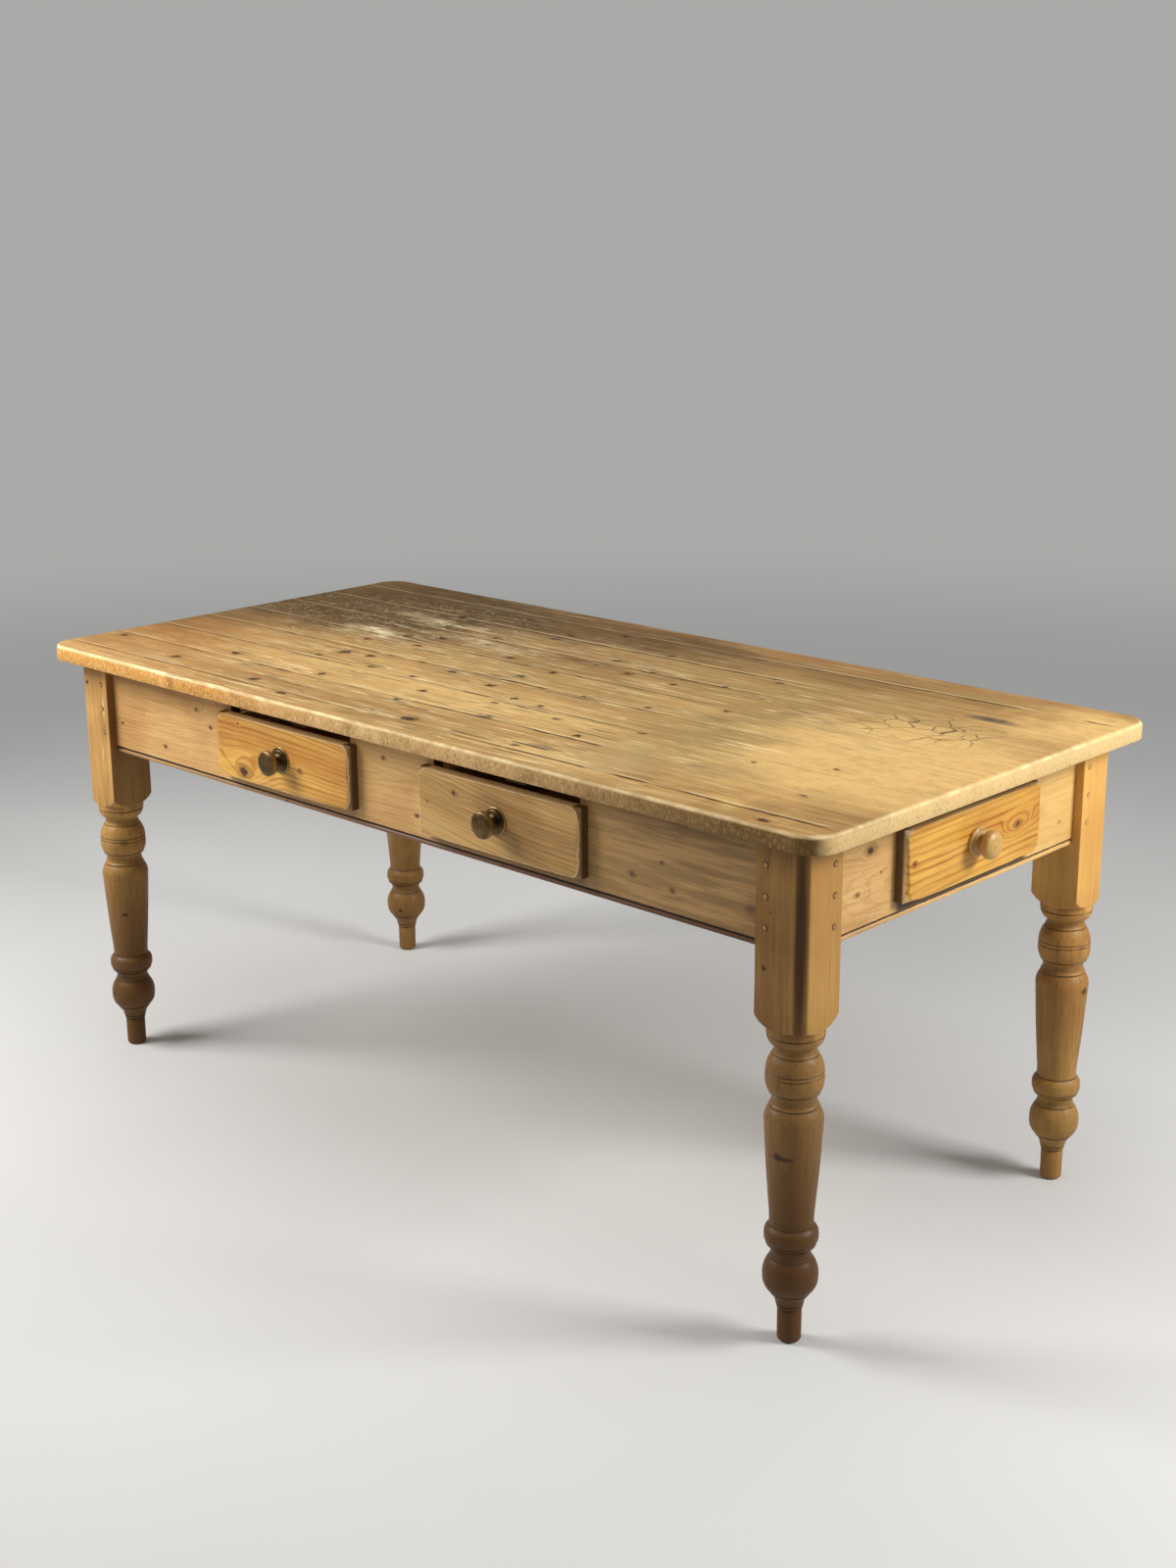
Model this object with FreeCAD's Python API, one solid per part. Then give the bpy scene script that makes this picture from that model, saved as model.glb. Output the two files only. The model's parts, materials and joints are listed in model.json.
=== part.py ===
import FreeCAD, Part
import math
import os

# Kitchen table with turned legs, two drawers in the front rail and one in the right end rail.
# Millimetres. The origin is on the floor under the middle of the top: X runs along the table to the
# right, Y to the back and Z up.

Vec = FreeCAD.Vector
UP = Vec(0, 0, 1)

# Top
table_length = 1750.0
table_width = 840.0
table_height = 775.0
top_thickness = 28.0
top_corner_radius = 45.0
top_arris_radius = 8.0
front_board_width = 49.0
back_board_width = 84.0
middle_board_count = 7

# Legs: a square block at the head, turned below it
leg_block = 82.0
leg_chamfer = 13.0
leg_inset_end = 47.0
leg_inset_side = 34.0
block_length = 270.0
shoulder_height = 26.0

# The leg's foot
foot_length = 79.0
foot_straight = 55.0
foot_radius = 17.5
foot_pad_radius = 12.5
foot_rounding = 7.0
foot_rounding_bulge = 1.3
foot_taper = 0.5
foot_hollow = 3.7

# Turned members of the leg from the foot up: height, depth of cut below the faces of the square blank,
# and where along its height the member is widest or narrowest, as a share
foot_flare_depth = 11.5
low_ball_height = 52.0
low_ball_depth = 1.5
low_ball_crest = 0.46
low_cove_height = 20.0
low_cove_depth = 13.0
low_cove_crest = 0.4
ring_height = 28.0
ring_depth = 3.0
ring_crest = 0.42
shaft_foot_depth = 10.0
shaft_taper = 0.5
shaft_roll_height = 43.0
shaft_roll_crest = 0.5
shaft_end_depth = 6.0
high_cove_height = 21.0
high_cove_depth = 9.2
high_cove_crest = 0.45
high_ball_height = 54.0
high_ball_crest = 0.4
neck_height = 15.0
neck_depth = 11.7
neck_crest = 0.6
collar_height = 26.0
collar_rim = 10.4
collar_bevel = 1.0
collar_crest = 0.3
fillet_step = 1.5
# Fine lines cut round the turning, those of the foot and the high ball by height and depth below the face
line_depth = 0.8
line_width = 1.4
foot_lines = ((52.2, 23.0), (58.3, 22.6))
high_ball_lines = ((26.1, 0.1), (31.8, 0.8))

# Rails
rail_height = 162.0
rail_thickness = 22.0
rail_setback = 15.0
bead_radius = 4.2
quirk_width = 2.0
quirk_depth = 3.0
tenon_thickness = 10.0
wall_between_tenons = 4.5
tenon_top_shoulder = 12.0
tenon_bottom_shoulder = 15.0
mortise_end_gap = 0.5

# Pegs through the rail tenons
peg_radius = 4.0
peg_fit = 0.05
peg_beyond_tenon = 11.0
peg_proud = 0.6
peg_edge_distance = 16.5
peg_top_drop = 38.0
peg_spacing = 44.0
pegs_per_joint = 3

# Drawers
front_end_lip = 15.5
drawer_front_height = 107.0
drawer_front_thickness = 20.0
drawer_front_drop = 28.5
front_corner_radius = 18.0
front_end_bevel = 4.5
front_edge_bevel = 0.8
front_bevel_depth = 7.0
front_pair_spacing = 504.0
front_pair_centre = 4.0
end_drawer_centre = 6.0
box_width = 306.0
box_wall = 12.0
front_top_lip = 6.5
front_bottom_lip = 9.5
front_box_depth = 380.0
end_box_rear_gap = 36.0
front_housing_depth = 8.0
bottom_thickness = 6.0
bottom_lift = 6.0
bottom_groove_depth = 5.0
bottom_groove_fit = 0.2
back_housing_depth = 4.0
back_inset = 8.0
back_top_drop = 6.0
moving_gap = 0.3
side_play = 1.5
opening_top_strip = 12.0

# Drawer runners, kickers and the cross rail that carries the end drawer
runner_ledge = 16.0
runner_guide = 14.0
runner_height = 20.0
guide_rise = 17.0
kicker_width = 40.0
kicker_play = 3.0
cross_rail_gap = 5.5
cross_rail_thickness = 22.0
cross_rail_housing = 6.0

# Buttons that hold the top down
button_length = 42.0
button_width = 28.0
button_thickness = 18.0
button_tongue_length = 9.0
button_tongue_thickness = 8.0
button_groove_drop = 8.0
button_slot_gap = 0.5
button_screw_radius = 2.0
button_screw_fit = 0.05
button_screw_head_radius = 4.0
button_screw_head_height = 2.4
button_screw_depth = 18.0
long_rail_button_inset = 126.0
end_rail_button_inset = 40.0

# Metal knobs
knob_head_radius = 21.0
knob_head_edge = 3.0
knob_dome = 2.2
knob_projection = 33.0
knob_neck_radius = 7.0
knob_foot_radius = 11.0
rose_radius = 21.0
rose_step_radius = 16.5
rose_height = 6.0
rose_edge = 2.6
knob_screw_radius = 2.5
knob_screw_fit = 0.05
knob_screw_head_radius = 5.0
knob_screw_head_height = 3.0
knob_screw_reach = 16.0

# Wooden knob
wood_knob_head_radius = 21.5
wood_knob_projection = 39.0
wood_knob_head_height = 25.0
wood_knob_cap_radius = 13.0
wood_knob_cap_height = 2.5
wood_knob_neck_radius = 10.0
wood_knob_base_radius = 22.5
wood_knob_base_height = 6.0
wood_knob_step_radius = 19.0
wood_knob_step_height = 5.0
spigot_radius = 7.0
spigot_fit = 0.1

# Places worked out from the sizes
leg_length = table_height - top_thickness
largest_radius = leg_block / 2
rail_bottom = leg_length - rail_height
long_rail_face = table_width / 2 - leg_inset_side - rail_setback
end_rail_face = table_length / 2 - leg_inset_end - rail_setback
leg_x = table_length / 2 - leg_inset_end - leg_block / 2
leg_y = table_width / 2 - leg_inset_side - leg_block / 2
long_rail_span = 2 * leg_x - leg_block
end_rail_span = 2 * leg_y - leg_block
drawer_front_top = leg_length - drawer_front_drop
drawer_front_bottom = drawer_front_top - drawer_front_height
drawer_middle = (drawer_front_top + drawer_front_bottom) / 2
box_top = drawer_front_top - front_top_lip
box_bottom = drawer_front_bottom + front_bottom_lip
opening_bottom = box_bottom - moving_gap
opening_top = leg_length - opening_top_strip
opening_width = box_width + 2 * side_play
drawer_front_width = opening_width + 2 * front_end_lip
runner_bottom = opening_bottom - runner_height
kicker_bottom = box_top + kicker_play
front_drawer_places = {
    "left": front_pair_centre - front_pair_spacing / 2,
    "right": front_pair_centre + front_pair_spacing / 2,
}
cross_rail_left = front_drawer_places["right"] + opening_width / 2 + runner_guide + cross_rail_gap
cross_rail_right = cross_rail_left + cross_rail_thickness
end_box_depth = end_rail_face - cross_rail_right - end_box_rear_gap
tenon_centre = rail_setback + rail_thickness / 2
mortise_depth = leg_block - tenon_centre - tenon_thickness / 2 - wall_between_tenons
tenon_length = mortise_depth - mortise_end_gap
peg_length = tenon_centre + tenon_thickness / 2 + peg_beyond_tenon
long_rail_buttons = (long_rail_button_inset - long_rail_span / 2, front_pair_centre,
                     long_rail_span / 2 - long_rail_button_inset)
end_rail_buttons = (end_rail_button_inset - end_rail_span / 2, end_rail_span / 2 - end_rail_button_inset)


def block(x, y, z):
    """A box given by its two limits along each axis."""
    return Part.makeBox(x[1] - x[0], y[1] - y[0], z[1] - z[0], Vec(x[0], y[0], z[0]))


def rod(start, direction, radius, length):
    return Part.makeCylinder(radius, length, start, direction)


def chain(start, stretches):
    """Edges through (first, second) coordinates: a stretch is one end point, or a way point and an end."""
    edges = []
    here = start
    for stretch in stretches:
        end = stretch[-1]
        if len(stretch) == 2:
            edges.append(Part.Arc(here, stretch[0], end).toShape())
        else:
            edges.append(Part.LineSegment(here, end).toShape())
        here = end
    return edges


def face_of(edges):
    return Part.Face(Part.Wire(edges))


def turned(start, stretches):
    """Solid of revolution about Z from (radius, height) stretches that start and end on the axis."""
    points = [[Vec(radius, 0, height) for radius, height in stretch] for stretch in stretches]
    first = Vec(start[0], 0, start[1])
    edges = chain(first, points + [[first]])
    return face_of(edges).revolve(Vec(0, 0, 0), UP, 360)


def dome(radius, foot, top):
    """Stretch of a round cap from (radius, foot) to the axis at the top: a circle centred on the axis."""
    rise = top - foot
    sphere = (radius ** 2 + rise ** 2) / (2 * rise)
    half_angle = math.asin(radius / sphere) / 2
    way = (sphere * math.sin(half_angle), top - sphere + sphere * math.cos(half_angle))
    return [way, (0, top)]


def fused(shapes):
    whole = shapes[0]
    for shape in shapes[1:]:
        whole = whole.fuse(shape)
    return whole.removeSplitter()


def cut_all(shape, tools):
    for tool in tools:
        shape = shape.cut(tool)
    return shape


def placed(shape, turn, x=0.0, y=0.0):
    """A copy turned about Z by degrees and then moved."""
    copy = shape.copy()
    copy.rotate(Vec(0, 0, 0), UP, turn)
    copy.translate(Vec(x, y, 0))
    return copy


def save(name, shape):
    shape.exportStep("parts/" + name + ".step")


def round_cornered(width, height, radius, depth):
    """Wire of a rectangle with round corners in the XZ plane at y = depth, centred on the axis."""
    x = width / 2
    z = height / 2
    diagonal = radius * (1 - math.sqrt(0.5))
    start = Vec(-x + radius, depth, -z)
    stretches = [
        [Vec(x - radius, depth, -z)],
        [Vec(x - diagonal, depth, -z + diagonal), Vec(x, depth, -z + radius)],
        [Vec(x, depth, z - radius)],
        [Vec(x - diagonal, depth, z - diagonal), Vec(x - radius, depth, z)],
        [Vec(-x + radius, depth, z)],
        [Vec(-x + diagonal, depth, z - diagonal), Vec(-x, depth, z - radius)],
        [Vec(-x, depth, -z + radius)],
        [Vec(-x + diagonal, depth, -z + diagonal), start],
    ]
    return Part.Wire(chain(start, stretches))


# Top ------------------------------------------------------------------------------------------------

def whole_top():
    slab = block(
        (-table_length / 2, table_length / 2), (-table_width / 2, table_width / 2), (leg_length, table_height)
    )
    corners = [e for e in slab.Edges if abs(e.Vertexes[0].Z - e.Vertexes[1].Z) > top_thickness / 2]
    slab = slab.makeFillet(top_corner_radius, corners)
    arris = [e for e in slab.Edges if e.BoundBox.ZMin > table_height - top_thickness / 2]
    return slab.makeFillet(top_arris_radius, arris)


def make_top_boards():
    slab = cut_all(whole_top(), at_stations(button_screw(button_screw_fit)))
    middle_width = (table_width - front_board_width - back_board_width) / middle_board_count
    widths = [front_board_width] + [middle_width] * middle_board_count + [back_board_width]
    y = -table_width / 2
    for number, width in enumerate(widths, 1):
        strip = block((-table_length, table_length), (y, y + width), (0, 2 * table_height))
        save("top_board_" + str(number), slab.common(strip))
        y += width


# Legs -----------------------------------------------------------------------------------------------

def member(foot, height, depth, crest, end_depth):
    """One arc of the turning: it passes its crest, cut to depth, and ends at its head, cut to end_depth."""
    return [(largest_radius - depth, foot + height * crest), (largest_radius - end_depth, foot + height)]


def turned_envelope():
    """The lathe work of one leg from the floor up, wide enough at the head to leave the block square."""
    ball_foot = foot_length
    cove_foot = ball_foot + low_ball_height
    ring_foot = cove_foot + low_cove_height
    shaft_foot = ring_foot + ring_height
    block_foot = leg_length - block_length
    collar_foot = block_foot - collar_height
    neck_foot = collar_foot - neck_height
    high_ball_foot = neck_foot - high_ball_height
    shaft_end = high_ball_foot - high_cove_height
    roll_foot = shaft_end - shaft_roll_height
    flare_radius = largest_radius - foot_flare_depth
    fillet_depth = shaft_foot_depth - fillet_step
    corner = leg_block / math.sqrt(2) + 1
    foot = [
        [(foot_pad_radius, 0)],
        [(foot_radius - foot_rounding_bulge, foot_rounding * 0.3), (foot_radius, foot_rounding)],
        [(foot_radius + foot_taper, foot_straight)],
        [(foot_radius + foot_hollow, (foot_straight + foot_length) / 2), (flare_radius, foot_length)],
        [(flare_radius + fillet_step, ball_foot + fillet_step)],
    ]
    members = [
        member(ball_foot, low_ball_height, low_ball_depth, low_ball_crest, fillet_depth),
        member(cove_foot, low_cove_height, low_cove_depth, low_cove_crest, fillet_depth),
        member(ring_foot, ring_height, ring_depth, ring_crest, shaft_foot_depth),
        [(largest_radius - shaft_taper, roll_foot)],
        member(roll_foot, shaft_roll_height, 0, shaft_roll_crest, shaft_end_depth),
        member(shaft_end, high_cove_height, high_cove_depth, high_cove_crest, shaft_end_depth),
        member(high_ball_foot, high_ball_height, 0, high_ball_crest, shaft_end_depth + collar_bevel),
        member(neck_foot, neck_height, neck_depth, neck_crest, shaft_end_depth),
        member(collar_foot, collar_height - collar_rim, collar_bevel, collar_crest, 0),
        [(largest_radius, block_foot)],
    ]
    head = [
        [(corner, block_foot + shoulder_height)],
        [(corner, leg_length)],
        [(0, leg_length)],
    ]
    return turned((0, 0), foot + members + head)


def turning_lines():
    """Radius and height of each fine line of the turning."""
    ring_foot = foot_length + low_ball_height + low_cove_height
    collar_top = leg_length - block_length - collar_rim
    high_ball_foot = leg_length - block_length - collar_height - neck_height - high_ball_height
    shaft_end = high_ball_foot - high_cove_height
    junctions = [
        (shaft_foot_depth - fillet_step, foot_length + low_ball_height),
        (shaft_foot_depth - fillet_step, ring_foot),
        (shaft_foot_depth, ring_foot + ring_height),
        (shaft_end_depth, shaft_end),
        (shaft_end_depth, high_ball_foot),
        (0, collar_top),
    ]
    foot = [(depth, height) for height, depth in foot_lines]
    ball = [(depth, high_ball_foot + rise) for rise, depth in high_ball_lines]
    return [(largest_radius - depth, height) for depth, height in foot + junctions + ball]


def line_cutter(radius, height):
    tip = Vec(radius - line_depth, 0, height)
    lower = Vec(radius + line_depth, 0, height - line_width)
    upper = Vec(radius + line_depth, 0, height + line_width)
    return face_of(chain(tip, [[lower], [upper], [tip]])).revolve(Vec(0, 0, 0), UP, 360)


def square_blank():
    """The blank's section, with the outer corner (right, front) taken off."""
    half = leg_block / 2
    outline = [
        [Vec(half - leg_chamfer, -half, 0)],
        [Vec(half, -half + leg_chamfer, 0)],
        [Vec(half, half, 0)],
        [Vec(-half, half, 0)],
        [Vec(-half, -half, 0)],
    ]
    return face_of(chain(Vec(-half, -half, 0), outline)).extrude(Vec(0, 0, leg_length))


def peg_heights():
    top = leg_length - peg_top_drop
    return [top - peg_spacing * number for number in range(pegs_per_joint)]


def peg_starts():
    """Where each peg enters the right front leg, about the leg's own axis: the front face, then the right."""
    edge = -leg_block / 2 + peg_edge_distance
    face = leg_block / 2
    fronts = [(Vec(edge, -face, z), Vec(0, 1, 0)) for z in peg_heights()]
    rights = [(Vec(face, -edge, z), Vec(-1, 0, 0)) for z in peg_heights()]
    return fronts + rights


def mortises():
    """The two mortises of the right front leg: one open to the left, one open to the back."""
    half = leg_block / 2
    depth = mortise_depth
    centre = -half + tenon_centre
    across = (centre - tenon_thickness / 2, centre + tenon_thickness / 2)
    z = (rail_bottom + tenon_bottom_shoulder, leg_length - tenon_top_shoulder)
    to_left = block((-half, -half + depth), across, z)
    to_back = block((-across[1], -across[0]), (half - depth, half), z)
    return [to_left, to_back]


def make_legs():
    leg = turned_envelope().common(square_blank())
    leg = cut_all(leg, [line_cutter(radius, height) for radius, height in turning_lines()])
    bores = [rod(start, way, peg_radius + peg_fit, peg_length) for start, way in peg_starts()]
    leg = cut_all(leg, mortises() + bores)
    pegs = [
        rod(start - way * peg_proud, way, peg_radius, peg_length + peg_proud - mortise_end_gap)
        for start, way in peg_starts()
    ]
    corners = {
        "front_right": (0, leg_x, -leg_y),
        "back_right": (90, leg_x, leg_y),
        "back_left": (180, -leg_x, leg_y),
        "front_left": (270, -leg_x, -leg_y),
    }
    all_pegs = []
    for corner, (turn, x, y) in corners.items():
        save("leg_" + corner, placed(leg, turn, x, y))
        all_pegs += [placed(peg, turn, x, y) for peg in pegs]
    save("joint_pegs", Part.makeCompound(all_pegs))


# Rails. Each is drawn with its face at y = 0 and its back at y = rail_thickness ----------------------

def rail_section(x):
    """Section with a quirk and bead scratched along the bottom of the face."""
    z = rail_bottom
    quirk_foot = z + 2 * bead_radius
    nose = bead_radius * (1 - math.sqrt(0.5))
    start = Vec(x, 0, leg_length)
    stretches = [
        [Vec(x, 0, quirk_foot + quirk_width)],
        [Vec(x, quirk_depth, quirk_foot + quirk_width / 2)],
        [Vec(x, bead_radius - nose, quirk_foot - nose / 2)],
        [Vec(x, 0, z + bead_radius), Vec(x, bead_radius, z)],
        [Vec(x, rail_thickness, z)],
        [Vec(x, rail_thickness, leg_length)],
        [start],
    ]
    return face_of(chain(start, stretches))


def peg_holes(span):
    """The pegs' holes through both tenons."""
    distance = span / 2 + peg_edge_distance
    return [
        rod(Vec(side * distance, 0, z), Vec(0, 1, 0), peg_radius + peg_fit, rail_thickness)
        for side in (-1, 1)
        for z in peg_heights()
    ]


def button_slot(x):
    top = leg_length - button_groove_drop
    reach = button_tongue_length + button_slot_gap
    return block(
        (x - button_width / 2 - button_slot_gap, x + button_width / 2 + button_slot_gap),
        (rail_thickness - reach, rail_thickness),
        (top - button_tongue_thickness, top),
    )


def rail(span, openings, button_places):
    bar = rail_section(-span / 2).extrude(Vec(span, 0, 0))
    middle = rail_thickness / 2
    tenons = [
        block(
            sorted((side * span / 2, side * (span / 2 + tenon_length))),
            (middle - tenon_thickness / 2, middle + tenon_thickness / 2),
            (rail_bottom + tenon_bottom_shoulder, leg_length - tenon_top_shoulder),
        )
        for side in (-1, 1)
    ]
    half = opening_width / 2
    cuts = [block((x - half, x + half), (0, rail_thickness), (opening_bottom, opening_top)) for x in openings]
    cuts += [button_slot(x) for x in button_places]
    return cut_all(fused([bar] + tenons), cuts + peg_holes(span))


def cross_rail_seat(x):
    """Housing for the end of the cross rail in the back of a long rail, from x towards the right."""
    return block(
        (x, x + cross_rail_thickness),
        (rail_thickness - cross_rail_housing, rail_thickness),
        (runner_bottom, leg_length),
    )


def make_rails():
    fronts = list(front_drawer_places.values())
    front = rail(long_rail_span, fronts, long_rail_buttons).cut(cross_rail_seat(cross_rail_left))
    back_buttons = [-x for x in long_rail_buttons]
    back = rail(long_rail_span, [], back_buttons).cut(cross_rail_seat(-cross_rail_right))
    right = rail(end_rail_span, [end_drawer_centre], end_rail_buttons)
    left = rail(end_rail_span, [], end_rail_buttons)
    save("front_rail", placed(front, 0, 0, -long_rail_face))
    save("right_end_rail", placed(right, 90, end_rail_face, 0))
    save("back_rail", placed(back, 180, 0, long_rail_face))
    save("left_end_rail", placed(left, 270, -end_rail_face, 0))


def make_cross_rail():
    y = long_rail_face - rail_thickness + cross_rail_housing
    save("cross_rail", block((cross_rail_left, cross_rail_right), (-y, y), (runner_bottom, leg_length)))


# Buttons --------------------------------------------------------------------------------------------

def button():
    """A button behind a rail whose back is at y = 0, with its tongue in the rail's slot."""
    groove_top = leg_length - button_groove_drop
    body = block(
        (-button_width / 2, button_width / 2),
        (0, button_length - button_tongue_length),
        (leg_length - button_thickness, leg_length),
    )
    tongue = block(
        (-button_width / 2, button_width / 2),
        (-button_tongue_length, 0),
        (groove_top - button_tongue_thickness, groove_top),
    )
    return fused([body, tongue])


def button_screw(fit=0.0):
    """Countersunk screw, driven up through the button into the top; with a fit it is the bore's tool."""
    y = (button_length - button_tongue_length) / 2
    foot = leg_length - button_thickness
    length = button_thickness + button_screw_depth + fit
    screw = turned((0, 0), [
        [(button_screw_head_radius + fit, 0)],
        [(button_screw_radius + fit, button_screw_head_height)],
        [(button_screw_radius + fit, length)],
        [(0, length)],
    ])
    screw.translate(Vec(0, y, foot))
    return screw


def button_stations():
    """Turn and place of every button: along the four rails."""
    inside_long = long_rail_face - rail_thickness
    inside_end = end_rail_face - rail_thickness
    stations = [(0, x, -inside_long) for x in long_rail_buttons]
    stations += [(180, x, inside_long) for x in long_rail_buttons]
    stations += [(90, inside_end, y) for y in end_rail_buttons]
    stations += [(270, -inside_end, y) for y in end_rail_buttons]
    return stations


def at_stations(shape):
    return [placed(shape, *station) for station in button_stations()]


def make_buttons():
    blank = button().cut(button_screw(button_screw_fit))
    save("top_buttons", Part.makeCompound(at_stations(blank)))
    save("button_screws", Part.makeCompound(at_stations(button_screw())))


# Drawers. Each is drawn centred on x = 0 with the rail's face at y = 0 and its inside towards +Y ------

def drawer_front(bore_radius):
    """Board with its front ends worked down to a round-cornered face."""
    back = -moving_gap
    bevel_foot = back - drawer_front_thickness + front_bevel_depth
    face = back - drawer_front_thickness
    board = block(
        (-drawer_front_width / 2, drawer_front_width / 2),
        (bevel_foot, back),
        (-drawer_front_height / 2, drawer_front_height / 2),
    )
    rim = round_cornered(drawer_front_width, drawer_front_height, front_edge_bevel, bevel_foot)
    flat = round_cornered(
        drawer_front_width - 2 * front_end_bevel,
        drawer_front_height - 2 * front_edge_bevel,
        front_corner_radius,
        face,
    )
    crown = Part.makeLoft([rim, flat], True, True)
    front = fused([board, crown])
    front.translate(Vec(0, 0, drawer_middle))
    housings = [housing_cut(side) for side in (-1, 1)] + [bottom_panel(0.0, 0.0)]
    bore = rod(Vec(0, face, drawer_middle), Vec(0, 1, 0), bore_radius, drawer_front_thickness)
    return cut_all(front, housings + [bore])


def side_limits(side):
    return sorted((side * box_width / 2, side * (box_width / 2 - box_wall)))


def housing_cut(side):
    return block(side_limits(side), (-moving_gap - front_housing_depth, 0), (box_bottom, box_top))


def back_limits(depth):
    return (depth - back_inset - box_wall, depth - back_inset)


def bottom_panel(depth, fit=bottom_groove_fit):
    """The bottom in its grooves; without fit it is also the tool that cuts them."""
    half = box_width / 2 - box_wall + bottom_groove_depth - fit
    z = box_bottom + bottom_lift
    rear = back_limits(depth)[1] if depth else 0
    return block(
        (-half, half),
        (-moving_gap - bottom_groove_depth + fit, rear),
        (z + fit / 2, z + bottom_thickness - fit / 2),
    )


def back_board(depth):
    half = box_width / 2 - box_wall + back_housing_depth
    foot = box_bottom + bottom_lift + bottom_thickness
    return block((-half, half), back_limits(depth), (foot, box_top - back_top_drop))


def drawer_side(side, depth):
    wall = block(side_limits(side), (-moving_gap - front_housing_depth, depth), (box_bottom, box_top))
    return cut_all(wall, [bottom_panel(depth, 0.0), back_board(depth)])


def metal_knob():
    """Round knob on a short neck. It stands on the rose, along +Z from the drawer's face."""
    rim_top = knob_projection - knob_dome
    rim_foot = rim_top - knob_head_edge
    waist = (rose_height + rim_foot) / 2
    shoulder = knob_head_radius - knob_head_edge / 2
    return turned((0, rose_height), [
        [(knob_foot_radius, rose_height)],
        [(knob_neck_radius, waist), (shoulder, rim_foot)],
        [(knob_head_radius, (rim_foot + rim_top) / 2), (shoulder, rim_top)],
        dome(shoulder, rim_top, knob_projection),
    ])


def knob_rose():
    """Stepped plate under the metal knob."""
    bore = knob_screw_radius + knob_screw_fit
    rose = turned((0, 0), [
        [(rose_radius, 0)],
        [(rose_radius, rose_edge)],
        [(rose_step_radius, rose_edge)],
        [(knob_foot_radius, rose_height)],
        [(0, rose_height)],
    ])
    return rose.cut(rod(Vec(0, 0, 0), UP, bore, rose_height))


def wooden_knob():
    """One turning: mushroom head, neck, stepped base and the spigot that goes through the front."""
    neck_foot = wood_knob_base_height + wood_knob_step_height
    cap_foot = wood_knob_projection - wood_knob_cap_height
    head_foot = wood_knob_projection - wood_knob_head_height
    belly = (head_foot + cap_foot) / 2
    length = drawer_front_thickness
    return turned((0, -length), [
        [(spigot_radius, -length)],
        [(spigot_radius, 0)],
        [(wood_knob_step_radius, 0)],
        [(wood_knob_base_radius, wood_knob_base_height / 2), (wood_knob_step_radius, wood_knob_base_height)],
        [(wood_knob_neck_radius, neck_foot)],
        [(wood_knob_neck_radius, head_foot)],
        [(wood_knob_head_radius, belly), (wood_knob_cap_radius, cap_foot)],
        dome(wood_knob_cap_radius, cap_foot, wood_knob_projection),
    ])


def knob_screw():
    """Machine screw from inside the drawer, its head on the back of the front."""
    back = -drawer_front_thickness
    end = rose_height + knob_screw_reach
    return turned((0, back - knob_screw_head_height), [
        [(knob_screw_head_radius, back - knob_screw_head_height)],
        [(knob_screw_head_radius, back)],
        [(knob_screw_radius, back)],
        [(knob_screw_radius, end)],
        [(0, end)],
    ])


def on_face(fitting):
    """A fitting drawn along +Z from the drawer's face, laid over to point out of the middle of it."""
    copy = fitting.copy()
    copy.rotate(Vec(0, 0, 0), Vec(1, 0, 0), 90)
    copy.translate(Vec(0, -moving_gap - drawer_front_thickness, drawer_middle))
    return copy


def metal_fittings():
    bore = rod(Vec(0, 0, 0), UP, knob_screw_radius + knob_screw_fit, rose_height + knob_screw_reach + 1)
    return {
        "knob": on_face(metal_knob().cut(bore)),
        "knob_rose": on_face(knob_rose()),
        "knob_screw": on_face(knob_screw()),
    }


def make_drawer(name, depth, fittings, bore_radius, place):
    pieces = {
        "front": drawer_front(bore_radius),
        "left_side": drawer_side(-1, depth),
        "right_side": drawer_side(1, depth),
        "back": back_board(depth),
        "bottom": bottom_panel(depth),
    }
    pieces.update(fittings)
    for piece, shape in pieces.items():
        save(name + "_drawer_" + piece, placed(shape, *place))


def runner(side, length):
    """L-shaped runner: a ledge under the drawer's side and a guide beside it."""
    edge = opening_width / 2
    start = rail_thickness
    ledge = block(
        sorted((side * (edge - runner_ledge), side * (edge + runner_guide))),
        (start, start + length),
        (runner_bottom, opening_bottom),
    )
    guide = block(
        sorted((side * edge, side * (edge + runner_guide))),
        (start, start + length),
        (opening_bottom, opening_bottom + guide_rise),
    )
    return fused([ledge, guide])


def kicker(length):
    """Strip under the top that keeps the open drawer from tipping."""
    return block(
        (-kicker_width / 2, kicker_width / 2),
        (rail_thickness, rail_thickness + length),
        (kicker_bottom, leg_length),
    )


def make_drawer_bearers(name, length, place):
    save(name + "_drawer_left_runner", placed(runner(-1, length), *place))
    save(name + "_drawer_right_runner", placed(runner(1, length), *place))
    save(name + "_drawer_kicker", placed(kicker(length), *place))


def make_drawers():
    across = 2 * (long_rail_face - rail_thickness)
    for name, x in front_drawer_places.items():
        place = (0, x, -long_rail_face)
        make_drawer(name, front_box_depth, metal_fittings(), knob_screw_radius + knob_screw_fit, place)
        make_drawer_bearers(name, across, place)
    place = (90, end_rail_face, end_drawer_centre)
    make_drawer("end", end_box_depth, {"knob": on_face(wooden_knob())}, spigot_radius + spigot_fit, place)
    make_drawer_bearers("end", end_rail_face - rail_thickness - cross_rail_right, place)


os.makedirs("parts", exist_ok=True)
make_top_boards()
make_legs()
make_rails()
make_cross_rail()
make_buttons()
make_drawers()
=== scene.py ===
import json
import math

import bmesh
import bpy
import numpy as np
from mathutils import Matrix, Vector

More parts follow.
